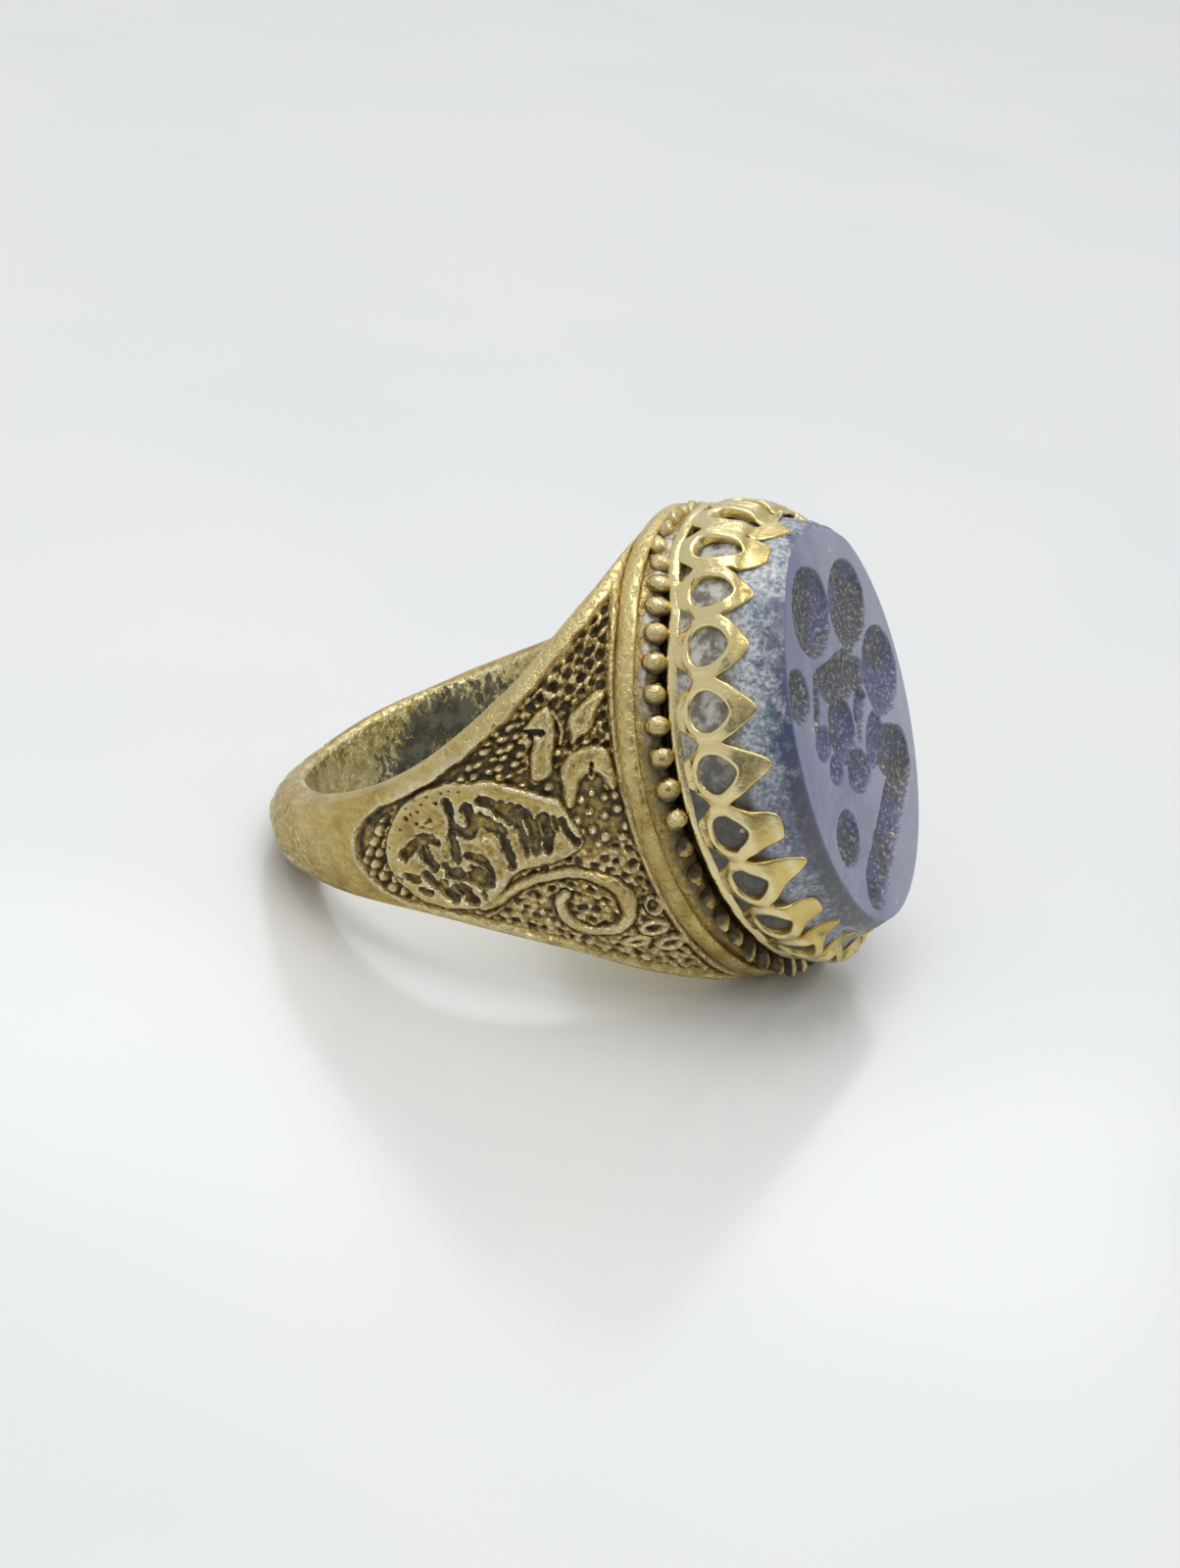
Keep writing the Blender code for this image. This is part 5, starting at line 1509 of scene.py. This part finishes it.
# Grime with painted shade behind the arches, black low down and pale high up.
grime_and_shade = f.times(f.span(axes[0], 13.2, 13.6, 1.0, 0.0), side)
black_grime_and_shade = f.mix(f.span(grain, 0.4, 0.65), (0.028, 0.025, 0.018), (0.09, 0.086, 0.075))
pale_grime = f.mix(f.span(grain, 0.4, 0.62), (0.16, 0.14, 0.1), (0.62, 0.6, 0.54))
stone_colour = f.mix(grime_and_shade, stone_colour, f.mix(high, black_grime_and_shade, pale_grime))
print("dust and grime lie on the side")

# %% [markdown]
# The cuts were left rough, so they hold dirt and dust and have lost the polish. A
# few flecks of pyrite shine like gold in the cloudier places.

# %% Cuts, flecks and gloss of the lapis
cut = f.layer("cut")
dirty_blue = f.times(f.span(f.noise(330.0, 4.0), 0.46, 0.6), 0.8)
scored = f.mix(dirty_blue, (0.042, 0.039, 0.032), (0.055, 0.072, 0.23))
scored = f.mix(f.span(speck, 0.5, 0.66, 0.0, 0.85), scored, (0.44, 0.42, 0.34))
stone_colour = f.mix(f.times(cut, 0.85), stone_colour, scored)
flecks = f.nodes.new("ShaderNodeTexVoronoi")
f.set(flecks.inputs["Vector"], f.place)
flecks.inputs["Scale"].default_value = 1500.0
gold_fleck = f.times(f.span(flecks.outputs["Distance"], 0.1, 0.2, 1.0, 0.0), f.span(cloud, 0.56, 0.62))
stone_colour = f.mix(gold_fleck, stone_colour, (0.62, 0.52, 0.3))
f.set(f.shader.inputs["Base Color"], stone_colour)
rough = f.plus(f.times(cut, 0.3), f.times(side, 0.1))
f.set(f.shader.inputs["Roughness"], f.plus(rough, f.times(grain, 0.5)))
skin = f.bump(grain, 0.3, 0.00005)
f.set(f.shader.inputs["Normal"], f.bump(f.noise(5000.0, 3.0), 0.2, 0.00003, under=skin))
f.shader.inputs["IOR"].default_value = 1.75
lapis = f.material
print("stone finish:", lapis.name)

# %% [markdown]
# Each piece now gets its finish and is hung under the root, and the solid that it
# stands for is hidden. The beads are their own piece but were cast with the shank,
# so the shank's solid is hidden for them too.

# %% Dress the pieces
for piece, material, node, slot in (
    (shank, cast_brass, "shank", "cast_brass"), (beads, bead_brass, "shank", "cast_brass"),
    (crown, crown_brass, "crown_bezel", "polished_brass"), (stone, lapis, "lapis_intaglio", "lapis_lazuli"),
):
    piece.data.materials.clear()
    piece.data.materials.append(material)
    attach(piece, "root")
    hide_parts(node)
print("pieces dressed")

# %% [markdown]
# The table is a pale glossy sheet that shows a soft reflection under the ring: a
# coat gives the reflection, and a slight bump keeps it from being a mirror.

# %% Table
bpy.ops.object.select_all(action="DESELECT")
bpy.ops.mesh.primitive_plane_add(size=3.0)
table = bpy.context.object
table.name = "table"
f = Finish("glossy_table")
pale_tone = f.mix(f.span(f.noise(30.0, 2.0), 0.3, 0.7), (0.78, 0.795, 0.8), (0.82, 0.825, 0.825))
f.set(f.shader.inputs["Base Color"], pale_tone)
f.set(f.shader.inputs["Roughness"], 0.3)
f.shader.inputs["Coat Weight"].default_value = 1.0
f.shader.inputs["Coat IOR"].default_value = 1.5
f.shader.inputs["Coat Roughness"].default_value = 0.2
f.set(f.shader.inputs["Normal"], f.bump(f.noise(140.0, 4.0), 0.06, 0.0004))
table.data.materials.append(f.material)
print("table", tuple(round(s, 1) for s in table.dimensions), "m")

# %% [markdown]
# Metal looks like what it mirrors, so the lights are large. A broad lamp hangs
# overhead with a weaker one beside it, and a wide window stands far behind.


# %% Lamps
def add_lamp(name, place, target, size, power, tint):
    """Area lamp that faces a point."""
    bpy.ops.object.light_add(type="AREA", location=place)
    lamp = bpy.context.object
    lamp.name = name
    lamp.data.shape = "RECTANGLE"
    lamp.data.size, lamp.data.size_y = size
    lamp.data.energy = power
    lamp.data.color = tint
    aim = np.array(target) - np.array(place)
    yaw = math.atan2(aim[1], aim[0]) - math.pi / 2
    pitch = math.atan2(math.hypot(aim[0], aim[1]), -aim[2])
    lamp.rotation_euler = (pitch, 0.0, yaw)


# Name, place and aim in m, size in m, power in W and tint of each lamp
LAMPS = (
    ("overhead", (-0.04, 0.06, 0.42), (0.0, 0.0, 0.0), (0.3, 0.26), 0.62, (1.0, 0.99, 0.97)),
    ("ceiling", (0.16, -0.08, 0.39), (0.0, 0.0, 0.0), (0.14, 0.12), 0.17, (1.0, 0.99, 0.97)),
    ("window", (-0.105, 0.305, 0.22), (0.0, -0.02, 0.0), (0.24, 0.055), 0.065, (0.95, 0.98, 1.0)),
)
for lamp in LAMPS:
    add_lamp(*lamp)

# %% [markdown]
# The sky fills the rest. It is dimmer towards one side, so that the metal has
# something dark to mirror as well.

# %% Soft sky
SKY_STRENGTH, DARK_STRENGTH = 0.68, 0.14
DARK_SIDE = (0.61, -0.785, -0.1)
world = bpy.data.worlds.new("soft_sky")
bpy.context.scene.world = world
world.use_nodes = True
sky = world.node_tree
toward = sky.nodes.new("ShaderNodeVectorMath")
toward.operation = "DOT_PRODUCT"
sky.links.new(sky.nodes.new("ShaderNodeTexCoord").outputs["Generated"], toward.inputs[0])
toward.inputs[1].default_value = DARK_SIDE
dim = sky.nodes.new("ShaderNodeMapRange")
dim.interpolation_type = "SMOOTHSTEP"
sky.links.new(toward.outputs["Value"], dim.inputs[0])
for socket, number in zip(list(dim.inputs)[1:5], (0.66, 0.95, SKY_STRENGTH, DARK_STRENGTH)):
    socket.default_value = number
sky.links.new(dim.outputs[0], sky.nodes["Background"].inputs["Strength"])
sky.nodes["Background"].inputs["Color"].default_value = (0.97, 0.99, 1.0, 1.0)
print("sky strength from", SKY_STRENGTH, "down to", DARK_STRENGTH)

# %% [markdown]
# The camera stands close, a little above the ring and turned slightly, with an
# upright frame.

# %% Camera
bpy.ops.object.camera_add(location=(0.034409, -0.107266, 0.059618))
camera = bpy.context.object
camera.rotation_euler = [math.radians(angle) for angle in (63.883, -8.481, 22.109)]
bpy.context.view_layer.update()
camera.data.sensor_fit = "VERTICAL"
camera.data.sensor_height = 36.0
camera.data.lens = 66.67
camera.data.clip_start = 0.005
bpy.context.scene.camera = camera
bpy.context.scene.view_settings.view_transform = "Standard"
print("camera at", [round(c / MM, 1) for c in camera.location], "mm")

# %% [markdown]
# Last, each dressed piece's size was printed as it was made, and the stone's solid's
# size near the top.
